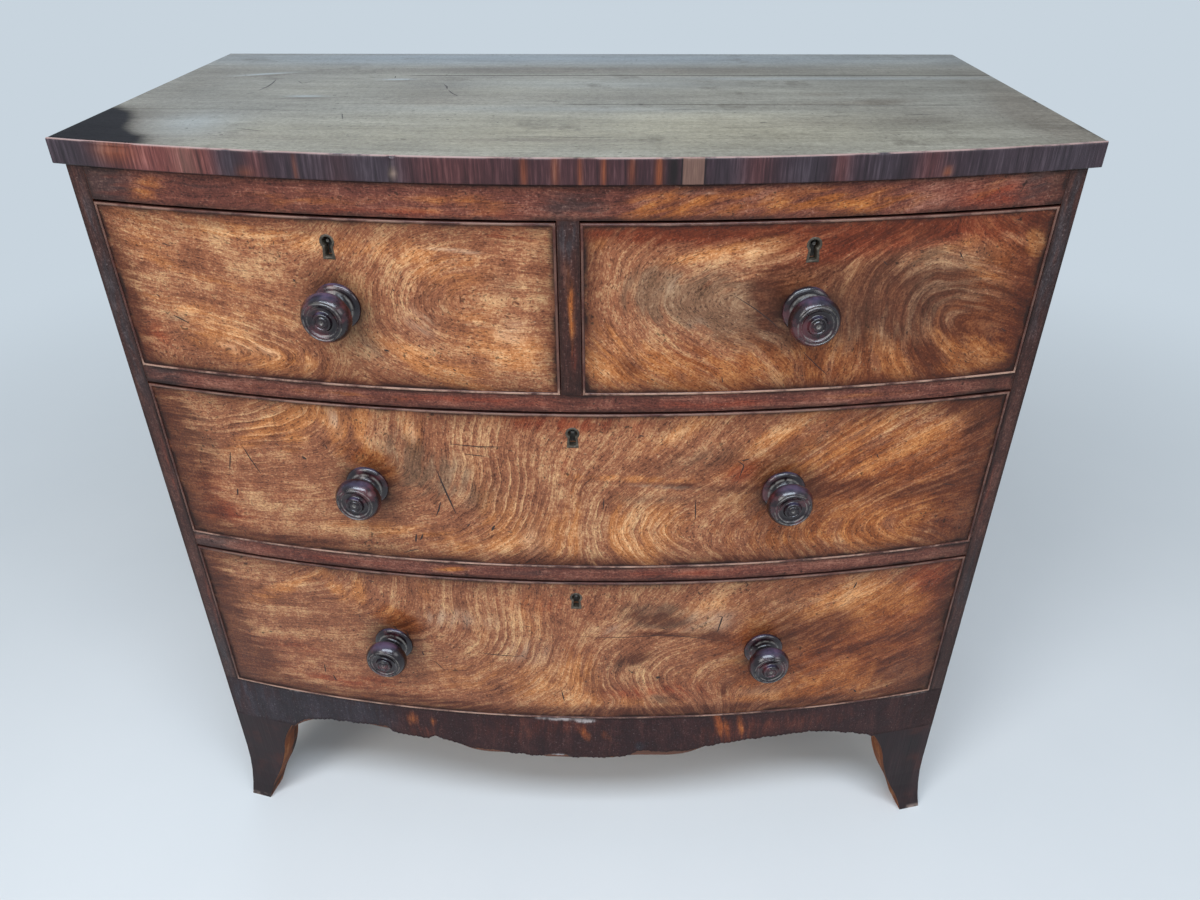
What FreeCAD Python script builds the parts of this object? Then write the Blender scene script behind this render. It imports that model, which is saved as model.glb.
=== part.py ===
import FreeCAD, Part
import os
import re
import Sketcher
from FreeCAD import Rotation, Vector

# A bow front chest of drawers, in millimetres. +Z is up, the bowed front looks along -Y and the flat
# back along +Y. The origin is on the floor, midway across and midway between the back and the knobs.
# Every alias has an underscore, so that an expression can name a size without the sheet's name.

SIZES = (
    ("base_height", 245, "floor to the opening of the bottom drawer"),
    ("bottom_opening", 233, "height of the bottom drawer's opening"),
    ("middle_opening", 207, "height of the middle drawer's opening"),
    ("short_opening", 182, "height of the two short drawers' openings"),
    ("rail_height", 20, "height of the rails between the drawers"),
    ("bottom_rail_height", 19, "height of the rail over the apron"),
    ("frieze_height", 34, "height of the rail under the top"),
    ("top_thickness", 24, "thickness of the top"),
    ("carcase_width", 979, "across the sides"),
    ("carcase_depth", 541, "from the back to the middle of the front"),
    ("bow_radius", 1900, "radius of the bowed front"),
    ("top_side_overhang", 10.5, "top past each side"),
    ("top_front_overhang", 5.5, "top past the front"),
    ("top_joint_depth", 318, "from the top's back edge to the joint of its boards"),
    ("banding_thickness", 3, "crossbanded veneer on the front edge of the top"),
    ("side_thickness", 19, "carcase side"),
    ("housing_depth", 8, "housings for rails and dustboards in the sides"),
    ("housing_setback", 12, "a housing stops this far behind the front edge"),
    ("back_thickness", 10, "back boards"),
    ("back_rebate", 12, "width of the rebate for the back boards"),
    ("back_board_count", 4, "upright boards across the back"),
    ("board_gap", 0.6, "shrinkage gap between back boards"),
    ("divider_width", 21, "post between the short drawers"),
    ("rail_depth", 50, "front to back size of a rail at the sides"),
    ("dustboard_thickness", 10, "dustboards behind the rails"),
    ("bottom_board_thickness", 14, "carcase bottom"),
    ("runner_width", 40, "strips under the dustboards"),
    ("kicker_width", 26, "strips above the short drawers"),
    ("stop_length", 30, "drawer stop, along the rail"),
    ("stop_depth", 12, "drawer stop, front to back"),
    ("stop_height", 5, "drawer stop, above the rail"),
    ("stop_offset", 90, "end of the drawer to the stop"),
    ("side_gap", 0.8, "drawer to the side of its opening"),
    ("top_gap", 2, "drawer to the top of its opening"),
    ("running_gap", 0.3, "drawer to what it runs on and stops against"),
    ("front_thickness", 22, "drawer front"),
    ("bead_width", 3, "cockbead seen from the front"),
    ("bead_depth", 6, "cockbead let into the drawer front"),
    ("bead_stand", 1.8, "cockbead proud of the drawer front"),
    ("lining_thickness", 10, "drawer side"),
    ("drawer_back_thickness", 8, "drawer back"),
    ("drawer_bottom_thickness", 6, "drawer bottom"),
    ("bottom_rise", 8, "drawer bottom above the lower edge of the side"),
    ("groove_depth", 4, "groove that holds the drawer bottom"),
    ("lining_drop", 6, "drawer side below the top of the front"),
    ("drawer_back_drop", 8, "drawer back below the top of the side"),
    ("room_behind", 20, "drawer to the back boards"),
    ("dovetail_lap", 7.5, "wood left in front of the half-blind dovetails"),
    ("pin_width", 6, "narrow face of a dovetail pin"),
    ("tail_rake", 0.14, "slope of a dovetail"),
    ("short_tails", 4, "front dovetails on a short drawer"),
    ("long_tails", 5, "front dovetails on a long drawer"),
    ("back_tails", 3, "back dovetails on every drawer"),
    ("knob_place", 231, "knobs and the short drawers' keyholes from the middle"),
    ("spigot_radius", 7, "peg of the knob in the drawer front"),
    ("spigot_gap", 1, "end of the peg to the inner face of the front"),
    ("flange_radius", 24.5, "foot of the knob"),
    ("flange_height", 3, "foot of the knob"),
    ("neck_radius", 13, "neck of the knob"),
    ("bun_radius", 25.5, "head of the knob"),
    ("bun_start", 19, "drawer front to the head"),
    ("bun_end", 33, "drawer front to where the head draws in"),
    ("knob_length", 42, "knob out of the drawer front"),
    ("face_radius", 20, "rim on the face of the knob"),
    ("dish_radius", 14, "floor of the dish in the face"),
    ("dish_depth", 3, "depth of the dish"),
    ("key_drop", 26, "top of the opening to the middle of the keyhole's round"),
    ("thread_radius", 7.5, "round top of the brass keyhole thread"),
    ("thread_waist", 5, "half width of the thread under its round top"),
    ("thread_skirt", 6.5, "half width of the thread at its lower end"),
    ("thread_drop", 17.5, "middle of the round to the lower end"),
    ("thread_wall", 2.6, "wall of the thread"),
    ("thread_depth", 8, "thread let into the front"),
    ("drill_pin_radius", 1.6, "pin in the lock that the key turns on"),
    ("drill_pin_length", 7, "pin in front of the lock case"),
    ("lock_width", 54, "lock case"),
    ("lock_height", 44, "lock case"),
    ("lock_depth", 12, "lock case"),
    ("bolt_width", 15, "lock bolt"),
    ("bolt_thickness", 5, "lock bolt"),
    ("bolt_height", 24, "lock bolt"),
    ("bolt_gap", 0.3, "lock bolt in its case"),
    ("mortise_gap", 2.3, "lock bolt in the mortise of the rail"),
    ("mortise_depth", 8, "mortise in the rail above"),
    ("apron_thickness", 24, "front and side aprons"),
    ("apron_end_depth", 56, "apron beside the feet, and the side aprons"),
    ("apron_arch_depth", 24, "apron at the top of its side arches"),
    ("apron_shoulder_depth", 37, "apron outside its step"),
    ("apron_step_depth", 50, "apron inside its step"),
    ("apron_middle_depth", 58, "apron in the middle"),
    ("arch_place", 300, "middle of the chest to the top of an arch"),
    ("step_place", 162, "middle of the chest to the step"),
    ("step_half_width", 14, "half the width of the step"),
    ("drop_half_width", 45, "half width of the level part in the middle"),
    ("foot_thickness", 38, "leaves of a foot"),
    ("foot_leaf_width", 89.5, "a foot's leaf at the top"),
    ("ankle_width", 66, "leaf under the bracket"),
    ("ankle_height", 114, "floor to the ankle"),
    ("bracket_sag", 4, "hollow of the curve over the ankle"),
    ("shin_width", 38.5, "leaf at the shin"),
    ("shin_height", 44, "floor to the shin"),
    ("shin_bulge", 2.7, "swell of the curve between ankle and shin"),
    ("toe_width", 21.5, "leaf on the floor, without its flare"),
    ("toe_sag", 1.6, "hollow of the curve over the toe"),
    ("flare_height", 100, "height over which a foot flares"),
    ("toe_flare", 10.5, "foot past the carcase side on the floor"),
    ("toe_forward", 5, "foot past the front on the floor"),
)

doc = FreeCAD.newDocument("bow_front_chest")
sheet = doc.addObject("Spreadsheet::Sheet", "dims")
for row, (alias, size, note) in enumerate(SIZES, 1):
    sheet.set(f"A{row}", note)
    sheet.set(f"B{row}", str(size))
    sheet.setAlias(f"B{row}", alias)
doc.recompute()

SLACK = "100"  # how far a block reaches past the curve that trims it
nodes = []


def named(text):
    """The expression with the sheet's name put before every size."""
    return re.sub(r"\b[a-z]+_\w+\b", r"dims.\g<0>", text)


def value(text):
    """The number that an expression gives now."""
    return float(sheet.evalExpression(named(text)))


def tie(part, **ties):
    """Bind properties of a part to expressions; a double underscore stands for a dot."""
    for prop, text in ties.items():
        part.setExpression(prop.replace("__", "."), named(text))
    return part


def node(label, part):
    """Name a finished sub-part."""
    part.Label = label
    nodes.append(part)
    return part


# Heights, from the floor up.
BOTTOM_OPEN = "base_height"
BOTTOM_CLOSE = "(base_height + bottom_opening)"
MIDDLE_OPEN = f"({BOTTOM_CLOSE} + rail_height)"
MIDDLE_CLOSE = f"({MIDDLE_OPEN} + middle_opening)"
SHORT_OPEN = f"({MIDDLE_CLOSE} + rail_height)"
SHORT_CLOSE = f"({SHORT_OPEN} + short_opening)"
TOP_UNDER = f"({SHORT_CLOSE} + frieze_height)"
TOP_OVER = f"({TOP_UNDER} + top_thickness)"
SIDE_FOOT = "(base_height - bottom_rail_height)"

# Places across the chest.
OUTSIDE = "(carcase_width / 2)"
INSIDE = "(carcase_width / 2 - side_thickness)"
HOUSED = f"({INSIDE} + housing_depth)"
POST_SIDE = "(divider_width / 2)"

# Places front to back. The knobs stand square to the bow, and their rims are the foremost points.
KNOB_TILT = "(knob_place / bow_radius)"
KNOB_REACH = (f"((bow_radius + knob_length) * sqrt(1 - {KNOB_TILT}^2)"
              f" + face_radius * {KNOB_TILT} - bow_radius)")
BACK = f"((carcase_depth + {KNOB_REACH}) / 2)"
BOW_AXIS = f"({BACK} - carcase_depth + bow_radius)"
AHEAD = f"({BACK} - carcase_depth - {SLACK})"
INNER_BACK = f"({BACK} - back_thickness)"


def bow_y(radius, x):
    """Where an upright round surface about the bow's axis lies, at a place across the chest."""
    return f"({BOW_AXIS} - sqrt(({radius})^2 - ({x})^2))"


SIDE_FRONT = bow_y("bow_radius", OUTSIDE)
RAIL_BACK = f"({SIDE_FRONT} + rail_depth)"


def box(name, x, y, z):
    """A block; each way is a pair of expressions, low and high."""
    part = doc.addObject("Part::Box", name)
    for length, place, (low, high) in zip(("Length", "Width", "Height"), "xyz", (x, y, z)):
        part.setExpression(length, named(f"({high}) - ({low})"))
        part.setExpression(f"Placement.Base.{place}", named(low))
    return part


def column(name, radius):
    """An upright cylinder about the bow's axis, taller than the chest."""
    part = doc.addObject("Part::Cylinder", name)
    return tie(part, Radius=radius, Height=f"{TOP_OVER} + 2 * {SLACK}",
               Placement__Base__y=BOW_AXIS, Placement__Base__z=f"-{SLACK}")


def cut(name, base, *tools):
    """The base less each tool in turn."""
    for tool in tools:
        part = doc.addObject("Part::Cut", name)
        part.Base = base
        part.Tool = tool
        base = part
    return base


def common(name, base, tool):
    """What two parts share."""
    part = doc.addObject("Part::Common", name)
    part.Base = base
    part.Tool = tool
    return part


def fuse(name, base, tool):
    """Two parts as one."""
    part = doc.addObject("Part::Fuse", name)
    part.Base = base
    part.Tool = tool
    return part


def group(name, parts):
    """Separate solids kept as one part."""
    part = doc.addObject("Part::Compound", name)
    part.Links = list(parts)
    return part


def mirrored(name, source):
    """The same part on the other side of the chest."""
    part = doc.addObject("Part::Mirroring", name)
    part.Source = source
    part.Normal = Vector(1, 0, 0)
    return part


def on_bow(part, x, z):
    """Stand a part on the bowed front: its own -Y looks out, square to the curve."""
    return tie(part, Placement__Base__x=x, Placement__Base__y=bow_y("bow_radius", x),
               Placement__Base__z=z, Placement__Rotation__Angle=f"asin(({x}) / bow_radius)")


front_round = column("front_round", "bow_radius")
lining_round = column("lining_round", "bow_radius - front_thickness")
bead_outer_round = column("bead_outer_round", "bow_radius + bead_stand")
bead_inner_round = column("bead_inner_round", "bow_radius - bead_depth")
groove_round = column("groove_round", "bow_radius - front_thickness + groove_depth")
apron_round = column("apron_round", "bow_radius - apron_thickness")
banding_round = column("banding_round", "bow_radius + top_front_overhang")
top_round = column("top_round", "bow_radius + top_front_overhang - banding_thickness")


# Locks and keyholes, drawn about the middle of the keyhole's round, with the front's face at Y 0.

LOCK_TOP = "(key_drop - top_gap)"
LOCK_FACE = "(front_thickness - lock_depth)"
BOLT_MIDDLE = "(front_thickness - lock_depth / 2)"
BOLT_FOOT = f"({LOCK_TOP} - bolt_height)"


def keyhole(name, wall, start, end):
    """A keyhole-shaped peg along Y: a round head over a skirt that widens downwards."""
    into_wood = Rotation(Vector(1, 0, 0), -90)
    head = doc.addObject("Part::Cylinder", f"{name}_head")
    head.Placement.Rotation = into_wood
    tie(head, Radius=f"thread_radius - {wall}", Height=f"{end} - {start}", Placement__Base__y=start)
    skirt = doc.addObject("Part::Wedge", f"{name}_skirt")
    skirt.Placement.Rotation = into_wood
    tie(skirt, Xmin=f"-(thread_waist - {wall})", Xmax=f"thread_waist - {wall}",
        X2min=f"-(thread_skirt - {wall})", X2max=f"thread_skirt - {wall}",
        Ymin="0", Ymax=f"thread_drop - {wall}",
        Zmin=start, Z2min=start, Zmax=end, Z2max=end)
    return fuse(name, head, skirt)


def bolt_block(name, gap, low, high):
    """A block around the bolt's line."""
    return box(name, (f"-(bolt_width / 2 + {gap})", f"bolt_width / 2 + {gap}"),
               (f"{BOLT_MIDDLE} - bolt_thickness / 2 - {gap}", f"{BOLT_MIDDLE} + bolt_thickness / 2 + {gap}"),
               (low, high))


def bolt_mortise(x, z_close):
    """The pocket in a rail that the bolt of the drawer below rises into."""
    pocket = bolt_block("mortise_block", "mortise_gap", "key_drop", "key_drop + mortise_depth")
    return on_bow(group("bolt_mortise", [pocket]), x, f"{z_close} - key_drop")


# Carcase sides: boards shaped to the bow in front, housed inside and rebated behind.

def carcase_side():
    """The left side, from the feet to the top."""
    blank = box("side_blank", (f"-{OUTSIDE}", f"-{INSIDE}"), (AHEAD, BACK), (SIDE_FOOT, TOP_UNDER))
    shaped = common("side_shaped", blank, front_round)
    depth = (f"{SIDE_FRONT} + housing_setback", INNER_BACK)
    into = (f"-{HOUSED}", f"-{INSIDE} + 1")
    housings = [
        box("side_bottom_lap", into, depth, (f"{SIDE_FOOT} - 1", BOTTOM_OPEN)),
        box("side_lower_housing", into, depth, (BOTTOM_CLOSE, MIDDLE_OPEN)),
        box("side_upper_housing", into, depth, (MIDDLE_CLOSE, SHORT_OPEN)),
        box("side_frieze_housing", into, (depth[0], RAIL_BACK), (SHORT_CLOSE, f"{TOP_UNDER} + 1")),
    ]
    rebate = box("side_rebate", (f"-{OUTSIDE} + side_thickness - back_rebate", f"-{INSIDE} + 1"),
                 (INNER_BACK, f"{BACK} + 1"), (f"{SIDE_FOOT} - 1", f"{TOP_UNDER} + 1"))
    return cut("side_cut", shaped, *housings, rebate)


side_left = node("side_left", carcase_side())
node("side_right", mirrored("side_mirrored", side_left))


# Rails: bowed in front, straight behind, their ends let into the sides. Bolts rise into all but one.

def rail(label, low, high, bolt_places):
    """A rail between two heights."""
    face = common("rail_face", box("rail_blank", (f"-{INSIDE}", INSIDE), (AHEAD, RAIL_BACK), (low, high)),
                  front_round)
    stub = box("rail_stub", (f"-{HOUSED}", HOUSED), (f"{SIDE_FRONT} + housing_setback", RAIL_BACK), (low, high))
    whole = fuse("rail_whole", face, stub)
    node(label, cut("rail_cut", whole, *[bolt_mortise(x, low) for x in bolt_places]))


rail("frieze_rail", SHORT_CLOSE, TOP_UNDER, ("-knob_place", "knob_place"))
rail("upper_rail", MIDDLE_CLOSE, SHORT_OPEN, ("0",))
rail("lower_rail", BOTTOM_CLOSE, MIDDLE_OPEN, ("0",))
rail("bottom_rail", SIDE_FOOT, BOTTOM_OPEN, ())

post_blank = box("post_blank", (f"-{POST_SIDE}", POST_SIDE), (AHEAD, RAIL_BACK), (SHORT_OPEN, SHORT_CLOSE))
node("divider_post", common("post_shaped", post_blank, front_round))
node("partition_board", box("partition", (f"-{POST_SIDE}", POST_SIDE), (RAIL_BACK, INNER_BACK),
                            (SHORT_OPEN, TOP_UNDER)))

# Boards behind the rails, the strips under and over them, and the stops that the fronts close on.

across = (f"-{HOUSED}", HOUSED)
inside_depth = (RAIL_BACK, INNER_BACK)
node("dustboard_upper", box("upper_dust", across, inside_depth,
                            (f"{SHORT_OPEN} - dustboard_thickness", SHORT_OPEN)))
node("dustboard_lower", box("lower_dust", across, inside_depth,
                            (f"{MIDDLE_OPEN} - dustboard_thickness", MIDDLE_OPEN)))
node("bottom_board", box("carcase_bottom", across, inside_depth,
                         (f"{BOTTOM_OPEN} - bottom_board_thickness", BOTTOM_OPEN)))

left_strip = (f"-{HOUSED}", f"-{INSIDE} + runner_width")
right_strip = (f"{INSIDE} - runner_width", HOUSED)
middle_strip = ("-runner_width / 2", "runner_width / 2")
upper_strips = (MIDDLE_CLOSE, f"{SHORT_OPEN} - dustboard_thickness")
lower_strips = (BOTTOM_CLOSE, f"{MIDDLE_OPEN} - dustboard_thickness")
node("drawer_runners", group("runner_strips", [
    box("runner", strip, inside_depth, heights)
    for strip, heights in ((left_strip, upper_strips), (middle_strip, upper_strips),
                           (right_strip, upper_strips), (left_strip, lower_strips),
                           (right_strip, lower_strips))]))
node("kicker_strips", group("kickers", [
    box("kicker", strip, inside_depth, (SHORT_CLOSE, TOP_UNDER))
    for strip in ((f"-{INSIDE}", f"-{INSIDE} + kicker_width"), (f"{INSIDE} - kicker_width", INSIDE),
                  (f"-{POST_SIDE} - kicker_width", f"-{POST_SIDE}"), (POST_SIDE, f"{POST_SIDE} + kicker_width"))]))


def drawer_stop(near, far, z):
    """A block behind a drawer front; far is its end that lies further from the middle."""
    face = f"{bow_y('bow_radius - front_thickness', far)} + running_gap"
    low, high = (far, near) if far.startswith("-") else (near, far)
    return box("stop", (low, high), (face, f"{face} + stop_depth"), (z, f"{z} + stop_height"))


outer_stop = (f"({INSIDE} - stop_offset - stop_length)", f"({INSIDE} - stop_offset)")
inner_stop = (f"({POST_SIDE} + stop_offset)", f"({POST_SIDE} + stop_offset + stop_length)")
node("drawer_stops", group("stops", [
    drawer_stop(sign + near, sign + far, z)
    for (near, far), z in ((outer_stop, BOTTOM_OPEN), (outer_stop, MIDDLE_OPEN), (outer_stop, SHORT_OPEN),
                           (inner_stop, SHORT_OPEN))
    for sign in ("-", "")]))

board_span = f"(2 * ({OUTSIDE} - side_thickness + back_rebate) / back_board_count)"
node("back_boards", group("backing", [
    box("back_board", (f"-{board_span} * (back_board_count / 2 - {index}) + board_gap / 2",
                       f"-{board_span} * (back_board_count / 2 - {index + 1}) - board_gap / 2"),
        (INNER_BACK, BACK), (SIDE_FOOT, TOP_UNDER))
    for index in range(int(value("back_board_count")))]))

# The top: two boards glued edge to edge, the front one bowed and edged with crossbanded veneer.

TOP_SIDE = f"({OUTSIDE} + top_side_overhang)"
top_across = (f"-{TOP_SIDE}", TOP_SIDE)
top_height = (TOP_UNDER, TOP_OVER)
top_joint = f"({BACK} - top_joint_depth)"
node("top_board_back", box("back_top", top_across, (top_joint, BACK), top_height))
front_blank = box("front_top_blank", top_across, (AHEAD, top_joint), top_height)
node("top_board_front", common("front_top", front_blank, top_round))
node("top_edge_banding", cut("banding", common("banding_blank", front_blank, banding_round), top_round))


# Aprons and feet. The feet are splayed brackets, their two leaves flaring as they reach the floor.

def smooth_edge(points):
    """An edge through points that curves smoothly."""
    curve = Part.BSplineCurve()
    curve.interpolate(points)
    return curve.toShape()


def apron_outline():
    """The front apron's elevation: an arch beside each foot, a step down, a level middle."""
    end = value(f"{OUTSIDE} - foot_leaf_width")
    arch, step, drop = value("arch_place"), value("step_place"), value("drop_half_width")
    slope = value("step_half_width")
    end_depth, arch_depth, shoulder_depth, step_depth, middle_depth = (
        value(f"apron_{name}_depth") for name in ("end", "arch", "shoulder", "step", "middle"))
    half = [
        (end, end_depth), (0.87 * end + 0.13 * arch, (2 * end_depth + arch_depth) / 3),
        ((end + arch) / 2, 0.1 * end_depth + 0.9 * arch_depth), (arch, arch_depth),
        ((arch + step) / 2, (arch_depth + shoulder_depth) / 2), (step + slope, shoulder_depth),
        (step, (shoulder_depth + step_depth) / 2), (step - slope, step_depth),
        ((step + drop) / 2, (step_depth + middle_depth) / 2), (drop, middle_depth)]
    top = value(SIDE_FOOT)
    left = [Vector(-x, 0, top - depth) for x, depth in half]
    right = [Vector(x, 0, top - depth) for x, depth in reversed(half)]
    corners = [right[-1], Vector(end, 0, top), Vector(-end, 0, top), left[0]]
    straight = [Part.makeLine(a, b) for a, b in zip(corners, corners[1:])]
    level = Part.makeLine(left[-1], right[0])
    return Part.Face(Part.Wire([smooth_edge(left), level, smooth_edge(right)] + straight))


outline = doc.addObject("Part::Feature", "apron_outline")
outline.Shape = apron_outline()
tie(outline, Placement__Base__y=AHEAD)
board = doc.addObject("Part::Extrusion", "apron_board")
board.Base = outline
board.DirMode = "Custom"
board.Dir = Vector(0, 1, 0)
board.Solid = True
tie(board, LengthFwd=f"{RAIL_BACK} - {AHEAD}")
apron_shaped = cut("apron_hollowed", common("apron_bowed", board, front_round), apron_round)

side_apron = box("side_apron", (f"-{OUTSIDE}", f"-{OUTSIDE} + apron_thickness"),
                 (f"{SIDE_FRONT} + foot_leaf_width", f"{BACK} - foot_leaf_width"),
                 (f"{SIDE_FOOT} - apron_end_depth", SIDE_FOOT))
node("side_aprons", group("aprons", [side_apron, mirrored("side_apron_mirrored", side_apron)]))


def splayed_leaves(plan, forward):
    """A foot's blank: its plan carried down from the carcase, moving outwards ever faster."""
    flare_from = value("flare_height")
    levels = [value(SIDE_FOOT)] + [flare_from * share for share in (1, 0.75, 0.5, 0.25, 0)]
    wires = []
    for z in levels:
        share = max(0.0, 1 - z / flare_from) ** 2
        shift = Vector(-value("toe_flare") * share, -forward * share, z)
        corners = [Vector(*corner, 0) + shift for corner in plan]
        wires.append(Part.makePolygon(corners + corners[:1]))
    return Part.makeLoft(wires, True, True)


def bracket(corner, along, through):
    """What is sawn out of one leaf: everything beyond the bracket's curve, right through the leaf."""
    def place(width, height):
        return corner + along * width + Vector(0, 0, height)

    leaf, toe = value("foot_leaf_width"), value("toe_width")
    stations = [(leaf, value(f"{SIDE_FOOT} - apron_end_depth")), (value("ankle_width"), value("ankle_height")),
                (value("shin_width"), value("shin_height")), (toe, 0)]
    bows = [-value("bracket_sag"), value("shin_bulge"), -value("toe_sag")]
    edges = []
    for (w0, z0), (w1, z1), bow in zip(stations, stations[1:], bows):
        middle = place((w0 + w1) / 2 + bow, (z0 + z1) / 2)
        edges.append(Part.Arc(place(w0, z0), middle, place(w1, z1)).toShape())
    past, under, top = 1.5 * leaf, -toe, stations[0][1]
    rest = [place(toe, 0), place(toe, under), place(past, under), place(past, top), place(leaf, top)]
    edges += [Part.makeLine(a, b) for a, b in zip(rest, rest[1:])]
    reach = value("2 * foot_thickness")
    sheet_of_air = Part.Face(Part.Wire(edges)).translate(through * -reach)
    return sheet_of_air.extrude(through * 3 * reach)


def bow_point(radius, x):
    """A point of the plan on an upright round surface about the bow's axis."""
    return (x, value(bow_y(radius, str(x))))


def front_foot():
    """The left front foot, with one leaf under the bow and one under the side."""
    outer, inner_end = -value(OUTSIDE), -value(f"{OUTSIDE} - foot_leaf_width")
    thick, leaf = value("foot_thickness"), value("foot_leaf_width")
    middle = (outer + inner_end) / 2
    y_corner = value(SIDE_FRONT)
    lean = -inner_end / value("bow_radius")
    square = Vector(lean, (1 - lean * lean) ** 0.5, 0)
    end_front = bow_point("bow_radius", inner_end)
    end_back = (end_front[0] + square.x * thick, end_front[1] + square.y * thick)
    plan = [(outer, y_corner), bow_point("bow_radius", middle), end_front, end_back,
            bow_point("bow_radius - foot_thickness", outer + thick), (outer + thick, y_corner + leaf),
            (outer, y_corner + leaf)]
    blank = splayed_leaves(plan, value("toe_forward"))
    corner = Vector(outer, y_corner, 0)
    return blank.cut([bracket(corner, Vector(1, 0, 0), square),
                      bracket(corner, Vector(0, 1, 0), Vector(1, 0, 0))])


def back_foot():
    """The left back foot: the side leaf flares, the back leaf stays flat against the wall."""
    outer, back = -value(OUTSIDE), value(BACK)
    thick, leaf, thin = value("foot_thickness"), value("foot_leaf_width"), value("apron_thickness")
    plan = [(outer, back), (outer, back - leaf), (outer + thick, back - leaf), (outer + thick, back - thin),
            (outer + leaf, back - thin), (outer + leaf, back)]
    blank = splayed_leaves(plan, 0.0)
    corner = Vector(outer, back, 0)
    return blank.cut([bracket(corner, Vector(1, 0, 0), Vector(0, 1, 0)),
                      bracket(corner, Vector(0, -1, 0), Vector(1, 0, 0))])


def pair_of_feet(end, shape):
    """The left and right foot at one end of the carcase's sides."""
    foot = doc.addObject("Part::Feature", f"{end}_foot")
    foot.Shape = shape
    return node(f"foot_{end}_left", foot), node(f"foot_{end}_right", mirrored(f"{end}_foot_mirrored", foot))


front_feet = pair_of_feet("front", front_foot())
pair_of_feet("back", back_foot())
node("apron", cut("apron_cut", apron_shaped, *front_feet))


# Drawers.

def origin_plane(body, role):
    """A body's own origin plane."""
    return next(plane for plane in body.Origin.OriginFeatures if plane.Role == role)


def turned_knob(x, z):
    """A knob turned from one piece: peg, foot, hollow neck, bun head and a dished face."""
    body = doc.addObject("PartDesign::Body", "knob")
    sketch = body.newObject("Sketcher::SketchObject", "knob_profile")
    sketch.AttachmentSupport = (origin_plane(body, "XY_Plane"), [""])
    sketch.MapMode = "FlatFace"
    profile = (
        ("0", "front_thickness - spigot_gap"), ("spigot_radius", "front_thickness - spigot_gap"),
        ("spigot_radius", "0"),
        ("flange_radius", "0"), ("flange_radius", "-flange_height"), ("neck_radius", "-flange_height"),
        ("neck_radius", "-bun_start"), ("bun_radius", "-bun_start"), ("bun_radius", "-bun_end"),
        ("face_radius", "-knob_length"), ("dish_radius", "-knob_length"),
        ("dish_radius", "-knob_length + dish_depth"), ("0", "-knob_length + dish_depth"))
    points = [Vector(value(r), value(y), 0) for r, y in profile]
    for start, end in zip(points, points[1:] + points[:1]):
        sketch.addGeometry(Part.LineSegment(start, end))
    count = len(points)
    for index, (r, y) in enumerate(profile):
        sketch.addConstraint(Sketcher.Constraint("Coincident", (index - 1) % count, 2, index, 1))
        for kind, text in (("DistanceX", r), ("DistanceY", y)):
            number = sketch.addConstraint(Sketcher.Constraint(kind, -1, 1, index, 1, value(text)))
            sketch.setExpression(f"Constraints[{number}]", named(text))
    turning = body.newObject("PartDesign::Revolution", "knob_turning")
    turning.Profile = sketch
    turning.ReferenceAxis = (sketch, ["V_Axis"])
    turning.Angle = 360
    return on_bow(body, x, z)


def tails(x, y_narrow, y_wide, z, count, narrow_first):
    """A row of dovetails as wedges; narrow_first says that they widen towards +Y."""
    low, high = z
    pitch = f"(({high} - {low}) / {count})"
    wedges = []
    for index in range(int(value(count))):
        middle = f"({low} + {pitch} * {index + 0.5})"
        wide = f"(({pitch} - pin_width) / 2)"
        narrow = f"({wide} - tail_rake * abs({y_wide} - {y_narrow}))"
        first, last = (narrow, wide) if narrow_first else (wide, narrow)
        ends = (y_narrow, y_wide) if narrow_first else (y_wide, y_narrow)
        wedge = doc.addObject("Part::Wedge", "tail")
        tie(wedge, Xmin=x[0], X2min=x[0], Xmax=x[1], X2max=x[1], Ymin=ends[0], Ymax=ends[1],
            Zmin=f"{middle} - {first}", Zmax=f"{middle} + {first}",
            Z2min=f"{middle} - {last}", Z2max=f"{middle} + {last}")
        wedges.append(wedge)
    return group("tail_row", wedges)


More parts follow.
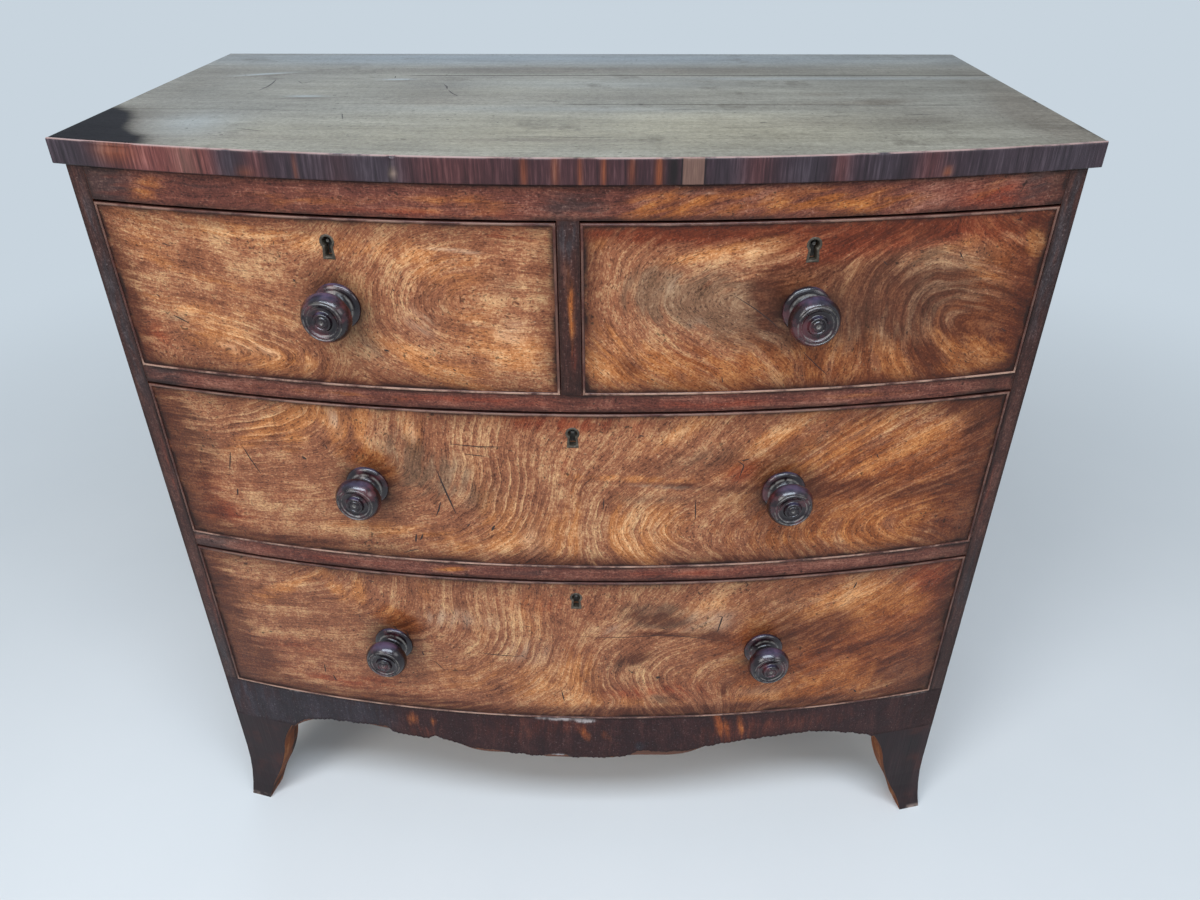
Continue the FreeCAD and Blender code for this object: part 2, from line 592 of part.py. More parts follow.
def drawer(name, opening_x, opening_z, front_tails, knob_places, lock_place):
    """One drawer with its bead, knobs and lock, fitted to an opening."""
    left, right = f"({opening_x[0]} + side_gap)", f"({opening_x[1]} - side_gap)"
    low, high = f"({opening_z[0]} + running_gap)", f"({opening_z[1]} - top_gap)"
    rear = f"({INNER_BACK} - room_behind)"
    lining_top = f"({high} - lining_drop)"
    bottom_top = f"({low} + bottom_rise + drawer_bottom_thickness)"
    key_height = f"({opening_z[1]} - key_drop)"

    bead_depth = (AHEAD, RAIL_BACK)
    inside = (f"{low} + bead_width", f"{high} - bead_width")
    strips = [box("bead", (left, right), bead_depth, (inside[1], high)),
              box("bead", (left, right), bead_depth, (low, inside[0])),
              box("bead", (left, f"{left} + bead_width"), bead_depth, inside),
              box("bead", (f"{right} - bead_width", right), bead_depth, inside)]
    bead_blank = common("bead_blank", group("bead_strips", strips), bead_outer_round)
    cockbead = node(f"{name}_cockbead", cut("bead_cut", bead_blank, bead_inner_round))

    board_x = (f"{left} + lining_thickness - groove_depth", f"{right} - lining_thickness + groove_depth")
    board_blank = box("bottom_blank", board_x, (AHEAD, rear), (f"{low} + bottom_rise", bottom_top))
    bottom = node(f"{name}_bottom", common("bottom_shaped", board_blank, groove_round))

    knobs = [turned_knob(x, f"({low} + {high}) / 2") for x in knob_places]
    thread = cut("thread_cut", keyhole("thread_outer", "0", "0", "thread_depth"),
                 keyhole("thread_inner", "thread_wall", "-1", "thread_depth + 1"))
    on_bow(thread, lock_place, key_height)
    key_way = on_bow(keyhole("key_way", "thread_wall", "-1", LOCK_FACE), lock_place, key_height)
    case = box("case_block", ("-lock_width / 2", "lock_width / 2"), (LOCK_FACE, "front_thickness"),
               (f"{LOCK_TOP} - lock_height", LOCK_TOP))
    pin = doc.addObject("Part::Cylinder", "drill_pin")
    pin.Placement.Rotation = Rotation(Vector(1, 0, 0), 90)
    tie(pin, Radius="drill_pin_radius", Height="drill_pin_length", Placement__Base__y=LOCK_FACE)
    slot = bolt_block("bolt_slot", "bolt_gap", f"{BOLT_FOOT} - bolt_gap", f"{LOCK_TOP} + 1")
    lock = on_bow(fuse("lock", cut("case_slotted", case, slot), pin), lock_place, key_height)
    room = box("lock_space", ("-lock_width / 2", "lock_width / 2"), (LOCK_FACE, "front_thickness + lock_depth"),
               (f"{LOCK_TOP} - lock_height", LOCK_TOP))
    lock_room = on_bow(group("lock_room", [room]), lock_place, key_height)
    bolt = on_bow(group("bolt", [bolt_block("bolt_bar", "0", BOLT_FOOT, f"{LOCK_TOP} - bolt_gap")]),
                  lock_place, key_height)

    slab_blank = box("slab_blank", (left, right), (AHEAD, RAIL_BACK), (low, high))
    slab = cut("slab", common("slab_shaped", slab_blank, front_round), lining_round)
    ends = {"left": (left, f"({left} + lining_thickness)"), "right": (f"({right} - lining_thickness)", right)}
    far = {end: f"max(abs({x[0]}); abs({x[1]}))" for end, x in ends.items()}
    tips = {end: f"({bow_y('bow_radius', far[end])} + dovetail_lap)" for end in ends}
    roots = {end: f"({tips[end]} + front_thickness)" for end in ends}
    front_sockets = [tails(x, roots[end], tips[end], (low, lining_top), front_tails, False)
                     for end, x in ends.items()]
    front = node(f"{name}_front", cut("front_cut", slab, cockbead, *front_sockets, bottom, *knobs, thread,
                                      key_way, lock_room))

    back_z = (bottom_top, f"({lining_top} - drawer_back_drop)")
    back_blank = box("back_blank", (left, right), (f"{rear} - drawer_back_thickness", rear), back_z)
    back_sockets = [tails(x, f"({rear} - drawer_back_thickness)", rear, back_z, "back_tails", True)
                    for x in ends.values()]
    back = node(f"{name}_back", cut("back_cut", back_blank, *back_sockets))
    linings = [cut("lining_cut", box("lining", x, (tips[end], rear), (low, lining_top)), front, back, bottom)
               for end, x in ends.items()]
    node(f"{name}_sides", group("linings", linings))

    node(f"{name}_knob" if len(knobs) == 1 else f"{name}_knobs", group("knobs", knobs))
    node(f"{name}_escutcheon", thread)
    node(f"{name}_lock_case", lock)
    node(f"{name}_lock_bolt", bolt)


BOTH = ("-knob_place", "knob_place")
drawer("short_drawer_left", (f"-{INSIDE}", f"-{POST_SIDE}"), (SHORT_OPEN, SHORT_CLOSE), "short_tails",
       BOTH[:1], BOTH[0])
drawer("short_drawer_right", (POST_SIDE, INSIDE), (SHORT_OPEN, SHORT_CLOSE), "short_tails", BOTH[1:], BOTH[1])
drawer("middle_drawer", (f"-{INSIDE}", INSIDE), (MIDDLE_OPEN, MIDDLE_CLOSE), "long_tails", BOTH, "0")
drawer("bottom_drawer", (f"-{INSIDE}", INSIDE), (BOTTOM_OPEN, BOTTOM_CLOSE), "long_tails", BOTH, "0")

doc.recompute()
for part in doc.Objects:
    if "Invalid" in part.State or "Error" in part.State:
        raise RuntimeError(f"{part.Label} failed: {part.State}")
for part in nodes:
    if part.Shape.isNull() or not part.Shape.isValid() or part.Shape.Volume <= 0:
        raise RuntimeError(f"{part.Label} has no valid shape")

os.makedirs("parts", exist_ok=True)
for part in nodes:
    part.Shape.exportStep(f"parts/{part.Label}.step")
print(len(nodes), "sub-parts written")
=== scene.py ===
import math

import bmesh
import bpy
import numpy as np
from mathutils import Matrix, Vector


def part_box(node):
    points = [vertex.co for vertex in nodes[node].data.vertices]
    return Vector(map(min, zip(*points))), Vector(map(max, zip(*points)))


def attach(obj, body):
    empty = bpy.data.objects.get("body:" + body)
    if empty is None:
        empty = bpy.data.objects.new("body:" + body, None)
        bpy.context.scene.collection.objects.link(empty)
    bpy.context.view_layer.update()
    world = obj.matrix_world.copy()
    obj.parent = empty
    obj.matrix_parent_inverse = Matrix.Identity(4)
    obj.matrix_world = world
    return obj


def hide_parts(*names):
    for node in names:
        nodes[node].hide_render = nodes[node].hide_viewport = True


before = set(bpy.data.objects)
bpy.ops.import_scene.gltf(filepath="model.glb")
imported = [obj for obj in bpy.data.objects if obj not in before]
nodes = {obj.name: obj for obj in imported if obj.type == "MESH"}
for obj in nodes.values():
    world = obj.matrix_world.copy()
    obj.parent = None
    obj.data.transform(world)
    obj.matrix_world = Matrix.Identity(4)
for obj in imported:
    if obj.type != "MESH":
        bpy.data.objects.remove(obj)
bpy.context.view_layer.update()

# Viewpoint: a grown person standing just over a metre in front of the chest and looking down at it.
# Its place is measured from the wall side of the carcase, which is flat and easy to find again.
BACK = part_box("back_boards")[1].y
PITCH, YAW, ROLL = math.radians(-32.343), math.radians(-1.512), math.radians(-0.177)

ahead = Vector((math.sin(YAW) * math.cos(PITCH), math.cos(YAW) * math.cos(PITCH), math.sin(PITCH)))
level = Vector((math.cos(YAW), -math.sin(YAW), 0))
upward = level.cross(ahead)
right = level * math.cos(ROLL) + upward * math.sin(ROLL)
up = upward * math.cos(ROLL) - level * math.sin(ROLL)
eye = Vector((0.0504, BACK - 1.3567, 1.1757))
lens = bpy.data.cameras.new("viewpoint")
lens.lens = 27.3165
lens.sensor_width = 36
viewer = bpy.data.objects.new("viewpoint", lens)
bpy.context.scene.collection.objects.link(viewer)
viewer.matrix_world = Matrix.Translation(eye) @ Matrix((right, up, -ahead)).transposed().to_4x4()
bpy.context.scene.camera = viewer
bpy.context.scene.view_settings.view_transform = "Standard"


# Studio floor: a plain pale sheet, far larger than the chest, with a slight unevenness in its tone.
# The wire class turns arithmetic on sockets into Math nodes; a finish is one material being made.

class Wire:
    """One socket of a finish. Arithmetic on it adds Math nodes."""

    def __init__(self, finish, socket):
        self.finish, self.socket = finish, socket

    def math(self, operation, *values):
        """A Math node of the finish, from values or wires."""
        return self.finish.node("ShaderNodeMath", {"operation": operation}, *values)

    def __add__(self, other):
        return self.math("ADD", self, other)

    def __sub__(self, other):
        return self.math("SUBTRACT", self, other)

    def __rsub__(self, other):
        return self.math("SUBTRACT", other, self)

    def __mul__(self, other):
        return self.math("MULTIPLY", self, other)

    def __truediv__(self, other):
        return self.math("DIVIDE", self, other)

    def __pow__(self, other):
        return self.math("POWER", self, other)

    def __abs__(self):
        return self.math("ABSOLUTE", self)

    __radd__, __rmul__ = __add__, __mul__

    def fract(self):
        """What is left over whole numbers."""
        return self.math("FRACT", self)

    def clamp(self):
        """Held between 0 and 1."""
        return self.finish.node("ShaderNodeClamp", {}, self)

    def between(self, low, high):
        """0 at low, 1 at high, smooth in between and level outside; low may be the higher one."""
        if low > high:
            return 1 - self.between(high, low)
        return self.finish.node("ShaderNodeMapRange", {"interpolation_type": "SMOOTHSTEP"},
                                self, low, high, 0.0, 1.0)


class Finish:
    """A material made node by node, ending in one Principled shader."""

    def __init__(self, name):
        self.material = bpy.data.materials.new(name)
        self.material.use_nodes = True
        self.tree = self.material.node_tree
        self.tree.nodes.clear()
        self.shader = self.tree.nodes.new("ShaderNodeBsdfPrincipled")
        end = self.tree.nodes.new("ShaderNodeOutputMaterial")
        self.tree.links.new(self.shader.outputs[0], end.inputs[0])
        self.end = end.inputs[0]
        self.place = self.node("ShaderNodeTexCoord", {"out": "Object"})

    def node(self, kind, settings, *values, **named):
        """Add a node: settings first, then values or wires for its sockets, in order or by name."""
        node = self.tree.nodes.new(kind)
        settings = dict(settings)
        out = settings.pop("out", None)
        stops = settings.pop("stops", ())
        for place, tint in stops:
            ramp = node.color_ramp.elements
            stop = ramp[0] if place == stops[0][0] else ramp[-1] if place == stops[-1][0] else ramp.new(place)
            stop.position, stop.color = place, (*tint, 1)
        for key, value in settings.items():
            setattr(node, key, value)
        pairs = list(zip([s for s in node.inputs if s.enabled], values))
        pairs += [(node.inputs[key.replace("_", " ")], value) for key, value in named.items()]
        for socket, value in pairs:
            if isinstance(value, Wire):
                self.tree.links.new(value.socket, socket)
            else:
                socket.default_value = (*value, 1) if socket.type == "RGBA" else value
        if out:
            return Wire(self, node.outputs[out])
        return Wire(self, [s for s in node.outputs if s.enabled][0])

    def set(self, **named):
        """Give the shader's sockets their values or wires; hands back the material."""
        for key, value in named.items():
            socket = self.shader.inputs[key.replace("_", " ")]
            if isinstance(value, Wire):
                self.tree.links.new(value.socket, socket)
            else:
                socket.default_value = (*value, 1) if socket.type == "RGBA" else value
        return self.material

    def axis(self, letter):
        """One of the object's coordinates, in metres."""
        return self.node("ShaderNodeSeparateXYZ", {"out": letter}, self.place)

    def facing(self, letter):
        """How far the surface faces along one of the object's axes, from -1 to 1."""
        normal = self.node("ShaderNodeTexCoord", {"out": "Normal"})
        return self.node("ShaderNodeSeparateXYZ", {"out": letter}, normal)

    def map(self, name):
        """A number stored at every point of the piece."""
        return self.node("ShaderNodeAttribute", {"attribute_name": name, "out": "Fac"})

    def blend(self, factor, first, second):
        """A mix of two colours."""
        return self.node("ShaderNodeMix", {"data_type": "RGBA"}, factor, first, second)

    def ramp(self, factor, *tints):
        """Colours spread evenly from 0 to 1."""
        steps = tuple((i / (len(tints) - 1), colour(tint)) for i, tint in enumerate(tints))
        return self.node("ShaderNodeValToRGB", {"stops": steps}, factor)

    def vector(self, x, y, z):
        """Three numbers or wires as one vector."""
        return self.node("ShaderNodeCombineXYZ", {}, x, y, z)

    def stretch(self, scale, start=(0, 0, 0)):
        """Object coordinates times a scale for each axis, started elsewhere."""
        return self.node("ShaderNodeMapping", {}, self.place, start, (0, 0, 0), scale)

    def noise(self, vector, scale=1.0, detail=3.0, roughness=0.5):
        """Smooth noise around 0.5."""
        return self.node("ShaderNodeTexNoise", {},
                         Vector=vector, Scale=scale, Detail=detail, Roughness=roughness)

    def bump(self, height, distance, strength=1.0):
        """A normal bent by a height between 0 and 1 over a distance in metres."""
        return self.node("ShaderNodeBump", {}, Height=height, Distance=distance, Strength=strength)


def colour(code):
    """A colour written as six hex digits, as the linear values that shaders use."""
    parts = [int(code[i:i + 2], 16) / 255 for i in (0, 2, 4)]
    return tuple(p / 12.92 if p <= 0.04045 else ((p + 0.055) / 1.055) ** 2.4 for p in parts)


def quads(rows, columns, around=False, over=False):
    """Faces of a grid of points; around joins its last column to the first, over its last row."""
    index = np.arange(rows * columns).reshape(rows, columns)
    index = np.concatenate([index, index[:, :1]], axis=1) if around else index
    index = np.concatenate([index, index[:1]], axis=0) if over else index
    return np.stack([index[:-1, :-1], index[:-1, 1:], index[1:, 1:], index[1:, :-1]], axis=-1).reshape(-1, 4)


def piece(name, points, faces, crease=40.0, weld=False):
    """An object at the origin from points in metres and four-cornered faces, smooth but for its creases."""
    mesh = bpy.data.meshes.new(name)
    mesh.vertices.add(len(points))
    mesh.vertices.foreach_set("co", np.asarray(points, np.float32).ravel())
    mesh.loops.add(faces.size)
    mesh.loops.foreach_set("vertex_index", faces.astype(np.int32).ravel())
    mesh.polygons.add(len(faces))
    mesh.polygons.foreach_set("loop_start", np.arange(0, faces.size, 4, dtype=np.int32))
    mesh.update(calc_edges=True)
    if weld:
        shell = bmesh.new()
        shell.from_mesh(mesh)
        bmesh.ops.remove_doubles(shell, verts=shell.verts, dist=1e-6)
        shell.to_mesh(mesh)
        shell.free()
    mesh.shade_smooth()
    mesh.set_sharp_from_angle(angle=math.radians(crease))
    made = bpy.data.objects.new(name, mesh)
    bpy.context.scene.collection.objects.link(made)
    return made


FLOOR_REACH = 30.0
BACKDROP = "c8d4de"
spread = np.linspace(-FLOOR_REACH, FLOOR_REACH, 9)
across, along = np.meshgrid(spread, spread)
corners = np.stack([across, along, 0 * across], axis=-1).reshape(-1, 3)
studio_floor = piece("studio_floor", corners, quads(9, 9))
paper = Finish("floor_paper")
studio_floor.data.materials.append(paper.set(
    Base_Color=paper.ramp(paper.noise(paper.place, 3.0, 4.0), "d6d8d8", "dedfde"), Roughness=0.85))
away = paper.node("ShaderNodeVectorMath", {"operation": "LENGTH", "out": "Value"}, paper.place)
seen = (paper.node("ShaderNodeLightPath", {"out": "Is Camera Ray"})
        + paper.node("ShaderNodeLightPath", {"out": "Is Glossy Ray"})).clamp()
lit = Wire(paper, paper.shader.outputs[0])
glow = paper.node("ShaderNodeEmission", {}, colour(BACKDROP), 1.0)
sheet = paper.node("ShaderNodeMixShader", {}, away.between(0.8, 2.6) * seen, lit, glow)
paper.tree.links.new(sheet.socket, paper.end)

# Studio light: an even pale surround, one broad soft lamp at the front left, a weaker one at the right,
# two long cool ones above and one behind that glances off the top. Colours come out about as written.
surround = bpy.data.worlds.new("surround")
bpy.context.scene.world = surround
surround.use_nodes = True
sky = surround.node_tree
sky_light, sky_seen = sky.nodes["Background"], sky.nodes.new("ShaderNodeBackground")
sky_light.inputs["Color"].default_value = (0.82, 0.91, 1.0, 1)
sky_light.inputs["Strength"].default_value = 0.22
sky_seen.inputs["Color"].default_value = (*colour(BACKDROP), 1)
ray = sky.nodes.new("ShaderNodeLightPath")
either = sky.nodes.new("ShaderNodeMath")
either.operation = "MAXIMUM"
shown = sky.nodes.new("ShaderNodeMixShader")
for start, end in ((ray.outputs["Is Camera Ray"], either.inputs[0]),
                   (ray.outputs["Is Glossy Ray"], either.inputs[1]),
                   (either.outputs[0], shown.inputs[0]),
                   (sky_light.outputs[0], shown.inputs[1]),
                   (sky_seen.outputs[0], shown.inputs[2]),
                   (shown.outputs[0], sky.nodes["World Output"].inputs[0])):
    sky.links.new(start, end)


def soft_lamp(name, place, target, width, height, power, tint):
    """A rectangular lamp facing a target, its width level."""
    data = bpy.data.lights.new(name, "AREA")
    data.shape = "RECTANGLE"
    data.size, data.size_y = width, height
    data.energy = power
    data.color = tint
    lamp = bpy.data.objects.new(name, data)
    bpy.context.scene.collection.objects.link(lamp)
    facing = (Vector(target) - Vector(place)).to_track_quat("-Z", "Y").to_matrix().to_4x4()
    lamp.matrix_world = Matrix.Translation(place) @ facing


soft_lamp("key_lamp", (-1.7, -2.3, 2.2), (0, 0, 0.5), 1.2, 1.2, 30, (1.0, 0.97, 0.94))
soft_lamp("fill_lamp", (2.4, -1.8, 2.0), (0, 0, 0.5), 1.2, 1.2, 14, (0.98, 0.98, 1.0))
soft_lamp("sky_lamp", (0.0, -1.5, 2.9), (0, -0.3, 0.5), 2.6, 0.7, 80, (0.78, 0.88, 1.0))
soft_lamp("window_lamp", (0.2, -2.9, 2.5), (0, 0, 0.6), 2.2, 0.4, 18, (0.8, 0.89, 1.0))
soft_lamp("high_lamp", (-0.7, 2.2, 2.2), (0, 0, 0.6), 2.2, 2.2, 14, (0.78, 0.89, 1.0))


# Carcase: boards, rails and posts housed together. Timber in sight is mahogany, French polished and
# browned; behind it is pine. Grain runs along each board, so a finish stretches its noise that way.
GRAIN = {"x": (1, 22, 22), "y": (22, 1, 22), "z": (22, 22, 1)}


def timber(name, along, dark, mid, pale, scale=2.0, rough=0.45, grime=0.35):
    """Plain sawn wood: broad bands and fine lines along the grain, dark pores, dirt in patches."""
    wood = Finish(name)
    run = GRAIN[along]
    bands = wood.noise(wood.stretch([scale * s for s in run]), 1.0, 4.0, 0.55)
    lines = wood.noise(wood.stretch([scale * (1.6 if s == 1 else 9) * s for s in run]), 1.0, 3.0, 0.6)
    pores = wood.noise(wood.stretch([70 if s == 1 else 1500 for s in run]), 1.0, 1.0).between(0.60, 0.74)
    cloud = wood.noise(wood.place, 7.0, 4.0, 0.6)
    tone = bands + (lines - 0.5) * 0.7 + (cloud - 0.5) * 0.6
    body = wood.blend(pores * 0.4, wood.ramp(tone, dark, mid, pale), colour(dark))
    dirt = wood.noise(wood.place, 24.0, 5.0, 0.65).between(0.5, 0.78)
    body = wood.blend(dirt * grime, body, colour("1e1310"))
    return wood.set(Base_Color=body, Roughness=rough + (cloud - 0.5) * 0.25 + dirt * 0.15,
                    Normal=wood.bump(lines * 0.6 - pores * 0.5, 0.0004))


def dress(material, *names):
    """Give CAD nodes a material."""
    for name in names:
        nodes[name].data.materials.clear()
        nodes[name].data.materials.append(material)


dress(timber("mahogany_side", "z", "2a120c", "643222", "925638", 1.6), "side_left", "side_right")
dress(timber("mahogany_rail", "x", "2c1713", "6a3c2e", "94604a"),
      "frieze_rail", "upper_rail", "lower_rail", "bottom_rail")
dress(timber("mahogany_post", "z", "2c1713", "6a3c2e", "94604a"), "divider_post")
dress(timber("pine_board", "x", "6b4a2c", "9c7448", "c09a68", 1.2, 0.78, 0.25),
      "partition_board", "dustboard_upper", "dustboard_lower", "bottom_board", "drawer_stops")
dress(timber("pine_back", "z", "46301f", "745439", "9a7854", 1.2, 0.8, 0.5), "back_boards")
dress(timber("pine_runner", "y", "6b4a2c", "9c7448", "c09a68", 1.2, 0.78, 0.25),
      "drawer_runners", "kicker_strips")

# Front veneers: thin mahogany leaves glued over the bowed rails, posts and drawer fronts. The grain of
# a leaf is drawn with a few lines, and its light, red, smoky, dirty and darker places with soft spots.
# Some dark spots are painted shadow: round and below the knobs, and along the frieze under the top.
BOW_RADIUS = 1.9
CARCASE_DEPTH = 0.541
BOW_AXIS = BACK - CARCASE_DEPTH + BOW_RADIUS
LEAF_PROUD = 0.35
LEAF_TURN = -0.4  # where a leaf's turned edge ends, inside the wood
KINDS = ("gold", "pale", "red", "smoke", "amber", "painted_back_sheen", "grime", "rings", "dark_tone_and_shadow")


def extent(node):
    """A node's left, right, lowest and highest place, in millimetres."""
    low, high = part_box(node)
    return low.x * 1000, high.x * 1000, low.z * 1000, high.z * 1000


def bow(x, proud=0.0):
    """Depth of the bowed front: a circle in plan about the bow's axis, its radius grown by proud."""
    return BOW_AXIS - np.sqrt((BOW_RADIUS + proud) ** 2 - x ** 2)


def on_front(x, z, proud):
    """Millimetres across and up, on the bowed front, as points in metres."""
    return np.stack([x / 1000, bow(x / 1000, proud / 1000) + 0 * z, z / 1000], axis=-1)


def grain_map(x, z, strokes, step):
    """Potential whose level lines follow the strokes, read at the points x, z. At each place of a plain
    grid, the slope wanted is the mean of the strokes' left-hand normals weighted by one over distance to
    the fourth; the potential whose slope fits best comes from a Fourier transform of the mirrored slopes,
    and is read between four places of the grid in proportion to how near each one is."""
    left, low = x.min() - step, z.min() - step
    columns, rows = int((x.max() - left) / step) + 3, int((z.max() - low) / step) + 3
    grid_x, grid_z = np.meshgrid(left + step * np.arange(columns), low + step * np.arange(rows))
    spots, normals = [], []
    for stroke in strokes:
        line = np.array(stroke, float)
        leg = np.diff(line, axis=0)
        normal = np.stack([-leg[:, 1], leg[:, 0]], axis=1) / np.hypot(*leg.T)[:, None]
        for part in (0.2, 0.5, 0.8):
            spots.append(line[:-1] + leg * part)
            normals.append(normal)
    spots, normals = np.concatenate(spots), np.concatenate(normals)
    near = (grid_x[..., None] - spots[:, 0]) ** 2 + (grid_z[..., None] - spots[:, 1]) ** 2
    weight = 1 / (near + 6.0 ** 2) ** 2
    slope = weight @ normals / weight.sum(axis=-1)[..., None]

    def mirrored(field, odd_across, odd_up):
        """Fourier transform of a field carried on past its edges by its mirror image, with its sign turned
        where it is odd."""
        wide = np.concatenate([field, field[:, ::-1] * (-1 if odd_across else 1)], axis=1)
        return np.fft.fft2(np.concatenate([wide, wide[::-1] * (-1 if odd_up else 1)], axis=0))

    across, up = mirrored(slope[..., 0], True, False), mirrored(slope[..., 1], False, True)
    wave_x = 2j * np.pi * np.fft.fftfreq(2 * columns, step)[None, :]
    wave_z = 2j * np.pi * np.fft.fftfreq(2 * rows, step)[:, None]
    size = np.abs(wave_x) ** 2 + np.abs(wave_z) ** 2
    size[0, 0] = 1
    field = np.fft.ifft2((across * wave_x.conj() + up * wave_z.conj()) / size).real[:rows, :columns]
    u, v = (x - left) / step, (z - low) / step
    i, j = u.astype(int), v.astype(int)
    u, v = u - i, v - j
    return ((field[j, i] * (1 - u) + field[j, i + 1] * u) * (1 - v)
            + (field[j + 1, i] * (1 - u) + field[j + 1, i + 1] * u) * v)


def store(made, **maps):
    """Keep numbers with every point of a piece, for its finish to read by name."""
    for name, values in maps.items():
        kept = made.data.attributes.new(name, "FLOAT", "POINT")
        kept.data.foreach_set("value", values.ravel().astype(np.float32))


def figure(made, x, z, edge, strokes, spots, step=4.0):
    """Store the maps that a veneer's finish reads: grain potential, distance to the edge, and each kind of
    spot as a sum of tilted bells, exp(-(a squared + b squared)) with a and b in half lengths. A spot is its
    middle across and up, half its length and height in millimetres, its tilt in degrees and its strength."""
    store(made, grain=grain_map(x, z, strokes, step), edge=edge)
    for kind in KINDS:
        field = np.zeros_like(x)
        for middle, height, half_long, half_high, tilt, strength in spots.get(kind, ()):
            c, s = math.cos(math.radians(tilt)), math.sin(math.radians(tilt))
            a = ((x - middle) * c + (z - height) * s) / half_long
            b = ((z - height) * c - (x - middle) * s) / half_high
            field += strength * np.exp(-(a ** 2 + b ** 2))
        store(made, **{kind: field})


def rim(rows, columns):
    """Numbers of a grid's border points, once round from its first corner along the first row."""
    index = np.arange(rows * columns).reshape(rows, columns)
    return np.concatenate([index[0, :-1], index[:-1, -1], index[-1, :0:-1], index[:0:-1, 0]])


def walls(loops):
    """Faces between loops of point numbers, each one further down the wall than the one before."""
    here, there = loops[:-1], loops[1:]
    return np.stack([np.roll(here, -1, 1), here, there, np.roll(there, -1, 1)], axis=-1).reshape(-1, 4)


KEY_ROOM, KEY_DROP, KEY_LIFT = 14, 23, 13  # the patch let in round a keyhole: sideways, down and up
KEY_RINGS = (0.3, 0.55, 0.75, 0.9, 1.0)


def leaf(name, left, right, low, high, strokes, spots, step=3.0, hole=None):
    """Veneer on the bowed front between two sides, a lower edge (a height, or a function of x) and an upper
    one: a grid with a rim turned back into the wood. A keyhole (centre across, up, and its outline as a
    function of the angle from straight down) is let in with rings blended from the grid to its outline."""
    def floor(x):
        """Height of the lower edge."""
        return low(x) if callable(low) else low

    columns, rows = round((right - left) / step) + 1, round((high - floor(0)) / step) + 1
    x, rise = np.meshgrid(np.linspace(left, right, columns), np.linspace(0, 1, rows))
    z = floor(x) + (high - floor(x)) * rise
    faces = quads(rows, columns)
    border = rim(rows, columns)
    x, z = x.ravel(), z.ravel()
    turned = [border]
    if hole:
        cx, cz, outline = hole
        i0, i1 = round((cx - KEY_ROOM - left) / step), round((cx + KEY_ROOM - left) / step)
        j0, j1 = round((cz - KEY_DROP - z[0]) / step), round((cz + KEY_LIFT - z[0]) / step)
        patch = np.arange(rows * columns).reshape(rows, columns)[j0:j1 + 1, i0:i1 + 1]
        ring = patch.ravel()[rim(*patch.shape)]
        corner = faces[:, 0]
        row, column = corner // columns, corner % columns
        faces = faces[~((row >= j0) & (row < j1) & (column >= i0) & (column < i1))]
        angle = np.arctan2(x[ring] - cx, cz - z[ring])
        reach = outline(angle)
        loops = [ring]
        near_x, near_z = cx + reach * np.sin(angle), cz - reach * np.cos(angle)
        for part in KEY_RINGS:
            x = np.concatenate([x, x[ring] * (1 - part) + near_x * part])
            z = np.concatenate([z, z[ring] * (1 - part) + near_z * part])
            loops.append(np.arange(len(ring)) + len(x) - len(ring))
        faces = np.concatenate([faces, walls(np.array(loops))[:, ::-1]])
        turned.append(loops[-1][::-1])
    edge = np.minimum.reduce([x - left, right - x, high - z, z - floor(x)])
    points = on_front(x, z, LEAF_PROUD)
    for loop in turned:
        lower = np.arange(len(loop)) + len(points)
        points = np.concatenate([points, on_front(x[loop], z[loop], LEAF_TURN)])
        faces = np.concatenate([faces, walls(np.array([loop, lower]))])
    everyone = np.concatenate([np.arange(len(x))] + turned)
    used, faces = np.unique(faces, return_inverse=True)
    faces = faces.reshape(-1, 4)
    made = piece(name, points[used], faces)
    figure(made, x[everyone][used], z[everyone][used], np.maximum(edge[everyone][used], 0), strokes, spots)
    return made


